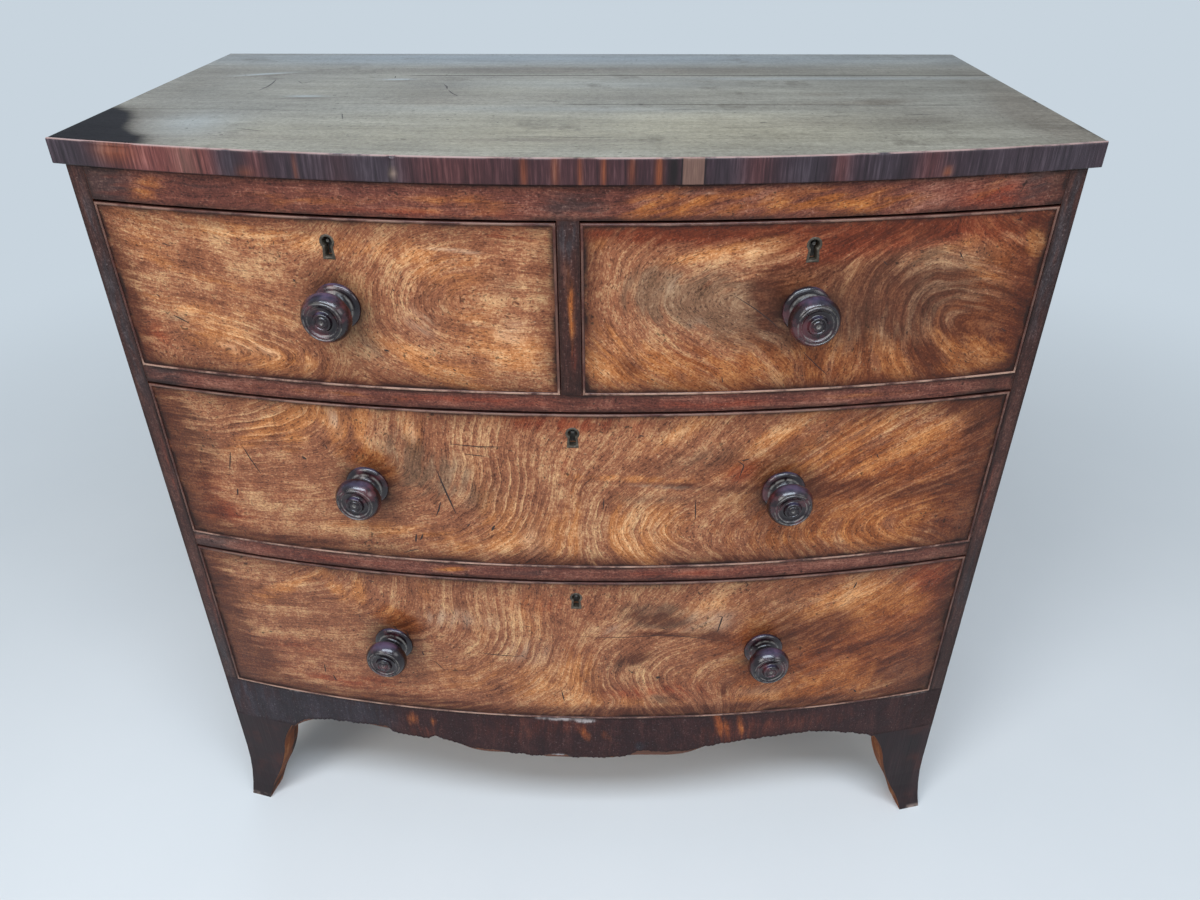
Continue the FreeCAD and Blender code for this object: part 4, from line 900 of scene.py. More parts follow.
LONG_STROKES = [
    [(-467, 520), (-300, 515), (-180, 512), (-110, 520), (-62, 545), (-45, 575), (-38, 620), (-44, 665),
     (-34, 702)],
    [(-467, 545), (-300, 540), (-200, 536), (-130, 544), (-96, 570), (-82, 610), (-88, 655), (-78, 702)],
    [(-467, 575), (-300, 568), (-200, 566), (-150, 574), (-126, 600), (-118, 640), (-124, 675),
     (-116, 702)],
    [(-467, 608), (-380, 604), (-300, 612), (-240, 620), (-190, 630), (-175, 660), (-168, 702)],
    [(-467, 632), (-400, 634), (-340, 645), (-300, 660), (-276, 680), (-268, 702)],
    [(-467, 655), (-400, 660), (-355, 675), (-325, 702)], [(-467, 682), (-410, 688), (-370, 702)],
    [(-262, 640), (-250, 665), (-246, 702)], [(-226, 640), (-222, 668), (-214, 702)],
    [(-60, 501), (-20, 525), (-8, 560), (-6, 600), (-10, 650), (0, 702)],
    [(60, 503), (34, 528), (24, 560), (30, 590), (60, 608)],
    [(112, 503), (78, 522), (62, 550), (74, 578), (112, 596), (160, 602)],
    [(150, 506), (108, 526), (92, 552), (108, 574), (150, 588)],
    [(190, 503), (160, 530), (168, 562), (205, 585)], [(18, 620), (44, 642), (54, 672), (58, 702)],
    [(70, 616), (108, 630), (134, 662), (150, 702)], [(118, 612), (166, 634), (200, 668), (222, 702)],
    [(190, 628), (250, 660), (300, 702)], [(250, 615), (318, 652), (372, 702)],
    [(300, 598), (372, 640), (436, 692)], [(380, 590), (467, 630)],
    [(272, 505), (250, 532), (258, 560), (292, 580), (340, 586), (400, 592), (467, 606)],
    [(384, 508), (342, 514), (322, 534), (326, 556), (346, 568), (392, 572), (467, 580)],
    [(420, 520), (380, 530), (366, 545), (390, 555), (440, 556)], [(230, 505), (214, 535), (226, 565)]]

LONG_STEP = 227  # from the middle drawer's front down to the bottom one's
CUT_NEXT = [[(x + 4 * math.sin(z / 31), z - LONG_STEP) for x, z in stroke] for stroke in LONG_STROKES[:-4]]

FRONT_FIGURE = {
    "short_drawer_left": ([
        [(-467, 893), (-400, 880), (-330, 866), (-270, 858), (-232, 866), (-205, 890)],
        [(-467, 862), (-400, 845), (-330, 828), (-285, 818), (-250, 815)], [(-467, 835), (-400, 815),
         (-340, 800), (-290, 790), (-255, 778), (-240, 758), (-256, 738), (-300, 728)], [(-467, 808),
         (-400, 790), (-350, 781), (-305, 774), (-276, 762), (-278, 746), (-320, 738), (-380, 742)],
        [(-467, 782), (-420, 773), (-380, 767), (-335, 762), (-322, 754), (-350, 749), (-420, 757)],
        [(-90, 728), (-140, 748), (-180, 768), (-203, 792), (-210, 822), (-205, 850), (-186, 876),
         (-150, 890), (-90, 894), (-20, 884)], [(-70, 742), (-120, 758), (-158, 780), (-176, 805),
         (-178, 832), (-164, 856), (-134, 868), (-80, 868), (-20, 856)], [(-50, 762), (-100, 775),
         (-135, 795), (-148, 815), (-142, 835), (-118, 846), (-70, 846), (-14, 836)],
        [(-14, 814), (-60, 812), (-104, 818)], [(-14, 792), (-60, 790), (-108, 800)],
        [(-150, 727), (-200, 750), (-228, 775)]], dict(
        gold=[(-400, 800, 60, 8, -14, 0.6), (-345, 765, 70, 20, -8, 0.7), (-300, 745, 50, 12, 0, 0.6),
              (-380, 838, 70, 7, -15, 0.5), (-130, 862, 50, 26, 0, 0.4), (-95, 800, 45, 45, -30, 0.35),
              (-170, 768, 50, 12, -30, 0.6), (-120, 745, 60, 14, -25, 0.6), (-50, 770, 35, 25, -20, 0.6),
              (-430, 870, 40, 12, -12, 0.4), (-320, 800, 60, 10, -8, 0.35), (-300, 884, 150, 12, -4, 0.6)],
        pale=[(-110, 877, 34, 3, -4, 0.4), (-340, 760, 45, 12, -5, 0.3), (-60, 795, 26, 26, -30, 0.25),
              (-150, 800, 25, 26, -20, 0.25)],
        red=[(-300, 899, 160, 5, 0, 0.3), (-40, 892, 50, 12, 0, 0.5), (-452, 742, 28, 25, 0, 0.35),
             (-440, 772, 20, 26, 0, 0.4), (-290, 730, 150, 8, 0, 0.4)],
        # The smoke spot at (-226, 792), just below the knob, is painted shadow.
        smoke=[(-130, 820, 20, 28, 0, 0.35), (-62, 842, 22, 22, 0, 0.3), (-205, 765, 24, 20, 0, 0.35),
               (-226, 792, 46, 36, 0, 0.35), (-410, 786, 14, 7, 0, 0.5)],
        grime=[(-467, 815, 6, 95, 0, 0.9), (-465, 730, 18, 7, 0, 0.8), (-14, 742, 8, 20, 0, 0.6),
               (-11, 815, 5, 95, 0, 0.5), (-240, 727, 240, 3, 0, 0.5)],
        rings=[(-172, 838, 32, 44, 0, 0.2), (-318, 764, 50, 20, -6, 0.6)],
        dark_tone_and_shadow=[(-240, 728, 240, 9, 0, 0.6), (-465, 815, 14, 95, 0, 0.9), (-462, 735, 30, 14, 0, 0.8),
               (-12, 770, 12, 60, 0, 0.6), (-452, 815, 24, 95, 0, 0.35), (-212, 822, 18, 24, 0, 0.5),
               (-215, 790, 22, 14, 0, 0.35), (-30, 850, 24, 24, 0, 0.25)])),
    "short_drawer_right": ([
        [(200, 735), (150, 753), (105, 779), (75, 805), (62, 830), (70, 856), (98, 876), (150, 889),
         (200, 894)], [(176, 727), (120, 744), (70, 774), (40, 805), (30, 838), (42, 874), (70, 900)],
        [(212, 756), (160, 774), (118, 800), (98, 824), (106, 848), (148, 864), (196, 870)],
        [(205, 790), (160, 805), (134, 824), (142, 840), (180, 846)], [(110, 727), (60, 754), (20, 786)],
        [(225, 850), (270, 868), (310, 890), (330, 904)], [(240, 760), (262, 790), (275, 830), (285, 856)],
        [(280, 735), (300, 770), (310, 800)], [(230, 892), (300, 884), (350, 870), (400, 848), (466, 822)],
        [(330, 727), (312, 765), (302, 805), (306, 838), (326, 860), (356, 862), (400, 838), (466, 806)],
        [(372, 727), (350, 765), (334, 800), (338, 826), (356, 842), (386, 830), (420, 812), (466, 790)],
        [(420, 727), (392, 762), (368, 792), (364, 812), (378, 820), (412, 802), (466, 770)],
        [(466, 735), (430, 762), (408, 784)], [(466, 858), (430, 872), (380, 890)]], dict(
        gold=[(140, 876, 54, 8, 10, 0.9), (190, 880, 25, 6, 20, 0.6), (60, 775, 54, 10, -40, 0.6),
              (35, 760, 34, 16, -40, 0.5), (110, 750, 54, 12, -38, 0.6), (160, 742, 34, 12, -30, 0.5),
              (318, 768, 28, 10, -50, 1.4), (335, 745, 20, 12, -40, 1.3), (378, 768, 40, 6, -45, 1.3),
              (420, 757, 30, 12, -20, 1.3), (400, 742, 26, 9, 0, 0.8), (440, 745, 20, 12, 0, 0.5),
              (350, 866, 34, 6, 18, 0.8), (412, 840, 40, 5, -28, 0.9), (385, 872, 12, 9, -60, 0.6),
              (455, 868, 14, 8, -50, 0.9), (250, 740, 50, 9, -20, 0.4), (30, 885, 20, 8, 20, 0.4),
              (22, 772, 14, 22, 0, 0.4), (80, 738, 60, 8, -10, 0.5), (28, 757, 26, 12, -20, 0.5),
              (454, 871, 16, 10, -60, 0.7)],
        pale=[(125, 802, 12, 10, 0, 0.3), (100, 845, 30, 10, 30, 0.2)],
        red=[(240, 896, 240, 14, 0, 0.7), (300, 876, 120, 14, 8, 0.5), (455, 800, 16, 80, 0, 0.9),
             (430, 840, 25, 40, 0, 0.3), (90, 895, 90, 8, 0, 0.4), (430, 770, 50, 50, 0, 0.35),
             (300, 884, 170, 16, 0, 0.5)],
        smoke=[(110, 830, 46, 28, 0, 0.95), (162, 812, 42, 34, 0, 0.9), (72, 842, 26, 28, 0, 0.6),
               (192, 790, 36, 26, 0, 0.6), (370, 815, 52, 46, 0, 0.95), (328, 802, 32, 40, 0, 0.6),
               (250, 800, 40, 40, 0, 0.6), (430, 800, 30, 30, 0, 0.4), (230, 790, 60, 30, -20, 0.4),
               (345, 842, 70, 34, 0, 0.6), (300, 790, 40, 50, 0, 0.5)],
        amber=[(240, 750, 260, 40, 0, 0.8), (430, 820, 60, 80, 0, 0.6)],
        grime=[(14, 815, 7, 90, 0, 0.7), (467, 815, 10, 95, 0, 0.9), (460, 735, 20, 10, 0, 0.7),
               (15, 729, 14, 8, 0, 0.8), (450, 892, 22, 10, 0, 0.5)],
        rings=[(60, 830, 20, 50, 0, 0.3), (360, 815, 50, 50, 0, 0.3)],
        dark_tone_and_shadow=[(240, 895, 240, 12, 0, 0.25), (196, 828, 22, 42, 10, 0.7), (262, 838, 50, 36, 0, 0.5),
               (300, 812, 30, 40, 0, 0.45), (458, 815, 22, 100, 0, 0.7), (418, 785, 60, 36, -20, 0.5),
               (370, 790, 50, 40, 0, 0.3), (375, 752, 90, 24, 0, 0.55), (12, 815, 14, 95, 0, 0.7),
               (240, 729, 240, 9, 0, 0.6), (330, 850, 60, 20, 0, 0.3), (250, 810, 90, 50, 0, 0.25),
               (420, 760, 60, 30, 0, 0.25), (60, 860, 40, 20, 30, 0.2), (363, 752, 10, 24, -30, 0.8),
               (410, 762, 12, 26, -40, 0.7), (130, 745, 110, 20, -10, 0.3), (250, 885, 240, 14, 0, 0.3),
               (340, 825, 90, 40, 0, 0.35), (450, 800, 26, 60, 0, 0.35), (140, 805, 60, 30, -20, 0.2),
               (60, 760, 16, 12, 0, 0.5)])),
    "middle_drawer": (LONG_STROKES, dict(
        gold=[(-340, 662, 64, 12, 35, 0.8), (-296, 672, 40, 13, 60, 0.9), (-255, 672, 13, 38, 0, 0.8),
              (-225, 676, 11, 30, 0, 0.8), (-172, 672, 10, 30, 0, 0.8), (-100, 600, 12, 60, 10, 0.4),
              (-75, 560, 30, 50, 0, 0.4), (-22, 540, 22, 40, 0, 0.6), (0, 560, 8, 60, 0, 0.6),
              (90, 560, 44, 40, 0, 0.55), (70, 520, 34, 16, -40, 0.8), (48, 560, 8, 30, 0, 0.7),
              (110, 680, 50, 18, 30, 0.55), (226, 680, 60, 13, 38, 0.8), (300, 660, 74, 12, 32, 0.9),
              (345, 640, 60, 9, 30, 0.8), (395, 655, 54, 14, 30, 0.7), (330, 545, 30, 28, 0, 0.9),
              (250, 530, 50, 18, 0, 0.5), (360, 520, 40, 14, 0, 0.8), (400, 550, 30, 18, 0, 0.6),
              (60, 622, 62, 4, -3, 0.8), (-200, 540, 120, 14, 0, 0.5), (-120, 520, 60, 13, 12, 0.55),
              (-280, 690, 120, 10, 0, 0.4)],
        pale=[(-255, 682, 9, 24, 0, 0.35), (-170, 682, 7, 22, 0, 0.35), (300, 665, 50, 7, 32, 0.3),
              (-45, 536, 26, 30, 0, 0.25), (110, 610, 50, 3, -5, 0.5)],
        red=[(-430, 560, 30, 50, 0, 0.4), (-400, 530, 60, 20, 0, 0.4), (-330, 580, 80, 20, 0, 0.3),
             (420, 540, 40, 30, 0, 0.5), (-50, 692, 60, 12, 0, 0.5), (186, 624, 20, 16, 0, 1.0),
             (40, 690, 60, 14, 0, 0.5), (330, 600, 60, 30, 0, 0.4), (-10, 640, 10, 60, 0, 0.3),
             (400, 590, 70, 60, 0, 0.2)],
        smoke=[(-160, 622, 50, 30, 0, 0.85), (-190, 660, 24, 20, 0, 0.5), (-100, 590, 36, 28, 0, 0.35),
               (246, 652, 60, 11, 32, 0.7), (212, 600, 60, 20, 0, 0.5), (400, 590, 70, 11, 8, 0.8),
               (90, 594, 60, 9, 0, 0.45), (-430, 650, 30, 40, 0, 0.5), (250, 575, 60, 20, 0, 0.4),
               (140, 645, 60, 16, 15, 0.5)],
        amber=[(-225, 637, 28, 14, -15, 1.0), (-205, 615, 14, 12, 0, 0.7), (-60, 695, 30, 8, 0, 0.3),
               (340, 590, 180, 110, 0, 0.9)],
        grime=[(-467, 600, 10, 110, 0, 1.1), (-462, 510, 16, 14, 0, 0.8), (-300, 501, 170, 4, 0, 0.7),
               (470, 600, 10, 110, 0, 0.8), (460, 508, 20, 10, 0, 0.7), (440, 698, 60, 5, -8, 0.6),
               (200, 502, 260, 3, 0, 0.6)],
        rings=[(-80, 610, 50, 110, 10, 0.6), (80, 550, 80, 50, 0, 0.4), (-345, 668, 60, 30, 30, 0.7),
               (-240, 680, 50, 30, 0, 0.5), (350, 560, 80, 50, 0, 0.3), (300, 660, 90, 26, 32, 0.45)],
        dark_tone_and_shadow=[(-20, 540, 60, 40, 0, 0.2), (-460, 600, 24, 120, 0, 0.9), (-445, 525, 32, 30, 0, 0.6),
               (-425, 640, 40, 50, 0, 0.3), (458, 600, 26, 120, 0, 1.0), (440, 520, 40, 20, 0, 0.5),
               (440, 692, 60, 12, -8, 0.7), (-212, 606, 22, 28, 0, 0.6), (262, 606, 26, 26, 0, 0.5),
               (210, 612, 22, 22, 0, 0.4), (0, 504, 460, 10, 0, 0.7), (320, 603, 90, 8, 6, 0.5),
               (400, 545, 70, 40, 0, 0.3), (-60, 700, 160, 5, 0, 0.4), (150, 640, 60, 12, 12, 0.45),
               (445, 690, 50, 26, 0, 0.7), (300, 596, 60, 12, -4, 0.6), (400, 588, 80, 9, 6, 0.7),
               (452, 540, 34, 40, 0, 0.5), (110, 612, 44, 4, -4, 0.7), (160, 606, 40, 6, 0, 0.6),
               (-160, 640, 30, 30, 20, 0.25), (230, 640, 24, 18, 30, 0.3), (-448, 600, 34, 120, 0, 0.45),
               (-350, 512, 110, 14, 0, 0.35), (440, 560, 40, 90, 0, 0.3)])),
    "bottom_drawer": (CUT_NEXT + [
        [(-467, 272), (-250, 268), (-80, 275), (0, 300)], [(40, 262), (70, 290), (60, 320)],
        [(210, 260), (270, 285), (360, 310), (467, 350)], [(240, 252), (340, 268), (467, 305)],
        [(200, 290), (250, 330), (340, 352), (467, 380)], [(400, 254), (467, 270)]], dict(
        gold=[(-350, 440, 50, 10, 35, 0.7), (-292, 438, 12, 30, 20, 0.8), (-265, 445, 10, 28, 0, 0.8),
              (-180, 450, 12, 18, 0, 0.5), (-120, 400, 12, 60, 10, 0.35), (-62, 420, 34, 50, 0, 0.35),
              (-40, 300, 50, 40, 0, 0.6), (0, 320, 26, 60, 0, 0.5), (150, 430, 50, 18, 20, 0.55),
              (310, 430, 54, 18, 36, 0.7), (362, 420, 40, 22, 36, 0.8), (300, 290, 60, 24, 0, 0.6),
              (80, 275, 60, 11, 0, 0.5), (352, 382, 30, 9, 20, 0.7), (-150, 310, 60, 30, 0, 0.4),
              (-400, 410, 50, 14, 15, 0.4), (400, 418, 60, 20, -25, 0.7), (250, 274, 46, 9, 0, 0.8),
              (345, 300, 16, 34, 20, 0.8), (376, 290, 8, 26, -15, 0.8)],
        pale=[(160, 410, 50, 26, 0, 0.4), (-150, 410, 60, 20, 0, 0.3), (-60, 360, 50, 28, 0, 0.25),
              (240, 285, 40, 13, 0, 0.35), (40, 400, 30, 14, 0, 0.3)],
        red=[(-300, 280, 160, 25, 0, 0.5), (-380, 330, 70, 20, 0, 0.4), (-60, 440, 70, 20, 0, 0.4),
             (0, 350, 40, 80, 0, 0.3), (430, 450, 40, 30, 0, 0.9), (380, 400, 80, 30, 0, 0.5),
             (100, 290, 80, 20, 0, 0.6), (230, 380, 60, 20, 0, 0.5), (330, 350, 80, 40, 0, 0.6),
             (440, 380, 30, 80, 0, 0.5), (400, 320, 60, 40, 0, 0.5), (250, 330, 70, 50, 0, 0.25)],
        smoke=[(-130, 420, 60, 28, 0, 0.25), (90, 420, 40, 20, -10, 0.6), (105, 408, 25, 5, 0, 0.7),
               (-240, 400, 40, 18, 0, 0.3), (420, 370, 50, 14, 0, 0.5), (60, 345, 40, 13, 20, 0.5),
               (105, 280, 20, 11, 0, 0.7), (250, 370, 60, 18, 0, 0.4), (430, 300, 50, 36, 0, 0.5),
               (250, 430, 50, 30, 0, 0.5), (300, 380, 50, 30, 0, 0.5), (95, 430, 50, 16, 0, 0.5)],
        amber=[(-228, 405, 34, 16, -20, 1.1), (-205, 390, 16, 12, -30, 0.9), (-50, 450, 30, 9, 0, 0.3),
               (340, 350, 180, 120, 0, 0.9)],
        grime=[(-467, 365, 8, 110, 0, 0.9), (-462, 258, 16, 10, 0, 0.7), (467, 365, 14, 110, 0, 1.0),
               (460, 262, 22, 14, 0, 0.8), (0, 251, 460, 3, 0, 0.5)],
        rings=[(-90, 390, 50, 100, 10, 0.5), (60, 330, 80, 60, 0, 0.45), (-310, 440, 80, 30, 20, 0.5),
               (320, 430, 90, 30, 20, 0.3)],
        dark_tone_and_shadow=[(0, 254, 460, 10, 0, 0.7), (-458, 365, 20, 120, 0, 0.8), (-440, 290, 44, 40, 0, 0.35),
               (432, 325, 60, 60, 0, 0.35), (450, 285, 40, 36, 0, 0.5), (458, 380, 24, 120, 0, 0.7),
               (380, 400, 70, 60, 0, 0.2), (400, 300, 80, 40, 0, 0.2), (255, 392, 30, 30, 0, 0.5),
               (-205, 382, 22, 28, 0, 0.6), (110, 412, 50, 26, 0, 0.35), (-300, 468, 170, 6, 0, 0.4),
               (330, 340, 60, 14, -10, 0.4), (60, 352, 40, 12, 20, 0.3), (100, 417, 34, 8, -8, 0.9),
               (66, 436, 40, 14, 10, 0.4), (168, 386, 24, 11, -20, 0.9), (110, 392, 70, 3, -5, 0.8),
               (74, 352, 24, 8, 25, 0.8), (188, 296, 9, 18, -15, 0.8), (113, 280, 20, 9, 0, 0.7),
               (305, 380, 44, 26, -10, 0.65), (323, 402, 26, 15, -20, 0.6), (436, 288, 38, 28, 0, 0.75),
               (240, 478, 240, 8, 0, 0.6), (400, 356, 70, 7, 6, 0.6), (30, 300, 18, 30, 20, 0.35),
               (-430, 290, 50, 30, 0, 0.4), (-160, 350, 24, 20, 0, 0.25), (-448, 365, 38, 120, 0, 0.5),
               (-280, 264, 200, 14, 0, 0.4), (200, 262, 240, 8, 0, 0.3)]))}

flame_finish = veneer(
    "flame_veneer", 0.0, wood_tints=("3c180c", "955c3f", "d8ab7a"), gold_tints=("6c3412", "b87544", "ecba86"),
    red_tints=("3c140c", "883e24", "c07048"), smoke_tints=("46311f", "7e5c45", "a88869"),
    pale_tint="dcc2a4", edge_dirt=0.8, edge_darkness=0.62)
KNOBS = {"short_drawer_left": (-1,), "short_drawer_right": (1,), "middle_drawer": (-1, 1),
         "bottom_drawer": (-1, 1)}
for drawer, (left, right, low, high) in DRAWERS.items():
    strokes, spots = FRONT_FIGURE[drawer]
    # A dark spot round each knob's foot: painted contact shadow with dirt.
    spots["grime"] += [(side * 230, (low + high) / 2, 30, 30, 0, 2.2) for side in KNOBS[drawer]]
    keyhole = (BOW_RADIUS * 1000 * math.sin(KEY_TURN[drawer]), KEY_RISE[drawer], key_outline(0.3))
    front = leaf(f"{drawer}_veneer", left + BEAD_WIDTH, right - BEAD_WIDTH, low + BEAD_WIDTH,
                 high - BEAD_WIDTH, strokes, spots, hole=keyhole)
    front.data.materials.append(flame_finish)
    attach(front, drawer)
dress(timber("mahogany_core", "x", "4a2416", "8a5638", "b08058", 1.6, 0.6),
      *(f"{drawer}_front" for drawer in DRAWERS))

# Old knocks in the fronts and the top: cracks, slots and dents, filled with dark polish. Each is a fine
# ribbon that tapers at both ends, lying on the wood: its width in millimetres, then its places across and
# up, or on the top across and forward from the back edge.
MARKS = {
    "short_drawer_left": (
        (1.6, (-272, 841), (-270, 839)), (2.2, (-189, 770), (-184, 769)), (1.6, (-414, 790), (-398, 783)),
        (1.4, (-153, 777), (-151, 776)), (1.0, (-405, 868), (-396, 866)), (1.2, (-172, 836), (-170, 834)),
        (1.0, (-428, 812), (-424, 810)), (1.2, (-120, 752), (-117, 750)), (1.0, (-64, 869), (-61, 868))),
    "short_drawer_right": (
        (1.0, (159, 832), (180, 818), (195, 806), (206, 796)), (0.9, (232, 770), (250, 752), (262, 741)),
        (1.0, (152, 745), (154, 738)), (1.2, (376, 866), (380, 860)), (0.8, (300, 862), (304, 858)),
        (1.0, (80, 744), (84, 742)), (0.9, (440, 780), (446, 776))),
    "middle_drawer": (
        (2.0, (-149, 626), (-142, 600), (-133, 570)), (1.8, (-149, 585), (-152, 574), (-156, 565)),
        (2.2, (-182, 537), (-184, 525)), (2.0, (-174, 538), (-178, 529)), (1.4, (-389, 626), (-396, 600)),
        (1.6, (-372, 636), (-365, 618), (-357, 601)), (3.0, (-302, 631), (-297, 628)),
        (2.6, (-90, 556), (-94, 548)), (1.6, (-118, 557), (-122, 552)),
        (1.2, (-132, 662), (-100, 660), (-74, 661)), (1.2, (-116, 650), (-94, 648)),
        (1.4, (177, 642), (184, 636), (180, 620)), (1.6, (181, 642), (189, 644)),
        (1.2, (33, 596), (32, 580)), (1.4, (134, 591), (135, 566)), (1.6, (70, 677), (75, 676)),
        (1.2, (-272, 650), (-270, 644)), (2.0, (-392, 575), (-394, 566)),
        (1.2, (-200, 508), (-192, 512), (-180, 516)), (1.2, (-76, 548), (-70, 547)),
        (1.2, (330, 640), (333, 634)), (1.0, (416, 590), (432, 586)), (1.2, (-330, 645), (-326, 642))),
    "bottom_drawer": (
        (1.0, (0, 390), (50, 388), (108, 392), (150, 385), (187, 376)), (1.6, (-332, 306), (-333, 291)),
        (2.2, (-323, 288), (-320, 278)), (1.3, (-122, 356), (-100, 354), (-72, 353)),
        (1.2, (-182, 336), (-170, 321)), (1.8, (170, 418), (176, 419), (174, 408), (171, 393)),
        (3.2, (98, 320), (104, 319)), (2.0, (336, 457), (333, 447)), (1.6, (-21, 296), (-18, 276)),
        (1.2, (-250, 460), (-243, 459)), (1.8, (-196, 350), (-194, 344)), (1.0, (-64, 405), (-56, 404)),
        (1.3, (-70, 356), (-66, 352)), (2.2, (360, 270), (364, 264)), (1.4, (104, 403), (108, 401)),
        (2.0, (-228, 390), (-224, 384)), (1.6, (-212, 384), (-210, 374)), (1.2, (300, 300), (304, 296)))}
TOP_MARKS = (
    (2.0, (-373, 190), (-370, 212), (-369, 232), (-372, 255)), (1.2, (-345, 196), (-334, 214), (-322, 192)),
    (2.2, (-163, 218), (-158, 230), (-155, 245)), (2.0, (-152, 252), (-146, 268), (-136, 285)),
    (3.4, (66, 327), (71, 328)), (1.4, (-232, 166), (-230, 180)), (1.6, (-372, 268), (-380, 274)),
    (1.0, (-244, 372), (-236, 400)), (1.2, (150, 430), (210, 427)), (1.2, (-60, 470), (40, 472)),
    (1.6, (255, 380), (285, 378)), (1.4, (340, 372), (372, 370)), (1.8, (186, 409), (194, 409)),
    (2.4, (-160, 480), (-154, 482)), (1.2, (-330, 440), (-300, 452)), (1.0, (90, 352), (130, 350)))
MARK_PROUD = 0.12
MARK_STEPS = 10
MARK_TAPER = np.sin(np.linspace(0.12, np.pi - 0.12, MARK_STEPS)) ** 0.6  # never quite nothing at the ends
mark_wood = Finish("old_marks")
mark_cloud = mark_wood.noise(mark_wood.place, 160.0, 3.0)
mark_finish = mark_wood.set(Base_Color=mark_wood.ramp(mark_cloud, "120a08", "2e1a12"),
                            Roughness=0.55 + mark_cloud * 0.2)
for carrier, marks in (*MARKS.items(), ("top", TOP_MARKS)):
    points, faces = [], []
    for width, *places in marks:
        course = np.array(places, float)
        way = np.concatenate([[0], np.cumsum(np.hypot(*np.diff(course, axis=0).T))])
        at = np.linspace(0, way[-1], MARK_STEPS)
        cx, cz = np.interp(at, way, course[:, 0]), np.interp(at, way, course[:, 1])
        tangent = np.stack([np.gradient(cx), np.gradient(cz)])
        tangent /= np.hypot(*tangent)
        half = width / 2 * MARK_TAPER
        sides = np.stack([(cx + side * half * tangent[1], cz - side * half * tangent[0]) for side in (-1, 1)])
        if carrier == "top":
            ribbon = np.stack([sides[:, 0] / 1000, BACK - sides[:, 1] / 1000,
                               0 * sides[:, 0] + TOP + MARK_PROUD / 1000], axis=-1)
            faces.append(quads(2, MARK_STEPS) + sum(map(len, points)))
        else:
            ribbon = on_front(sides[:, 0], sides[:, 1], LEAF_PROUD + MARK_PROUD)
            faces.append(quads(2, MARK_STEPS)[:, ::-1] + sum(map(len, points)))
        points.append(ribbon.reshape(-1, 3))
    marks_piece = piece(f"{carrier}_marks", np.concatenate(points), np.concatenate(faces))
    marks_piece.data.materials.append(mark_finish)
    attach(marks_piece, "carcase" if carrier == "top" else carrier)

# Cockbeads: thin mahogany strips let into the edges of each front, mitred at the corners, their rounded
# noses pale in patches, worn where hands and dusters pass and with a painted highlight, most on the bottom
# strips; their flanks are painted dark as shadow where they meet the front.
BEAD_DEPTH, BEAD_STAND = 6.0, 1.8
nose = np.linspace(0, np.pi, 9)
bead_in = np.concatenate([[0, 0], 1.5 - 1.5 * np.cos(nose), [3, 3]])
bead_out = np.concatenate([[-BEAD_DEPTH, -2], 0.5 + 1.3 * np.sin(nose), [-2, -BEAD_DEPTH]])
bead_wood = Finish("bead_mahogany")
bead_lines = bead_wood.noise(bead_wood.stretch((40, 40, 40)), 1.0, 5.0, 0.65)
bead_breakup = bead_wood.noise(bead_wood.place, 22.0, 5.0, 0.7)
bead_fine = bead_wood.noise(bead_wood.place, 420.0, 2.0)
bead_tone = 0.45 + (bead_lines - 0.5) * 1.2 + (bead_fine - 0.5) * 0.4
bead_body = bead_wood.ramp(bead_tone, "1a0d0b", "4c2b24", "805546")
crown = bead_wood.map("crown")
# The pale line along the crown is partly wear and partly a painted highlight, broken up by noise.
wear_and_highlight = crown.between(0.55, 0.95) * bead_breakup.between(0.40, 0.60) * bead_wood.map("rubbed")
bead_body = bead_wood.blend(wear_and_highlight, bead_body, colour("b08c78"))
# Painted shadow: the bead's flanks, where it meets the front and down in the gap, are darkened.
bead_body = bead_wood.blend(crown.between(0.6, 0.1) * 0.8, bead_body, colour("190e0c"))
bead_finish = bead_wood.set(Base_Color=bead_body, Roughness=0.34 + (bead_lines - 0.5) * 0.3,
                            Specular_IOR_Level=0.3, Normal=bead_wood.bump(bead_lines, 0.0004))
for drawer, (left, right, low, high) in DRAWERS.items():
    wide, tall = round((right - left) / 6), 24
    along, rise = np.linspace(-1, 1, wide)[:-1], np.linspace(-1, 1, tall)[:-1]
    side_x = np.concatenate([along, np.ones(tall - 1), -along, -np.ones(tall - 1)])
    side_z = np.concatenate([-np.ones(wide - 1), rise, np.ones(wide - 1), -rise])
    x = (left + right) / 2 + side_x * ((right - left) / 2 - bead_in[:, None])
    z = (low + high) / 2 + side_z * ((high - low) / 2 - bead_in[:, None])
    points = np.stack([x / 1000, bow(x / 1000) - bead_out[:, None] / 1000, z / 1000], axis=-1).reshape(-1, 3)
    bead = piece(f"{drawer}_bead", points, quads(*x.shape, around=True, over=True), crease=50.0)
    # By side, the painted highlight and wear are strongest on the bottom strip, less on the top, least on the
    # sides.
    store(bead, crown=np.clip(bead_out / BEAD_STAND, 0, 1)[:, None] + 0 * x,
          rubbed=np.where(side_z < -0.99, 0.85, np.where(side_z > 0.99, 0.35, 0.15)) + 0 * x)
    bead.data.materials.append(bead_finish)
    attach(bead, drawer)
    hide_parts(f"{drawer}_cockbead")

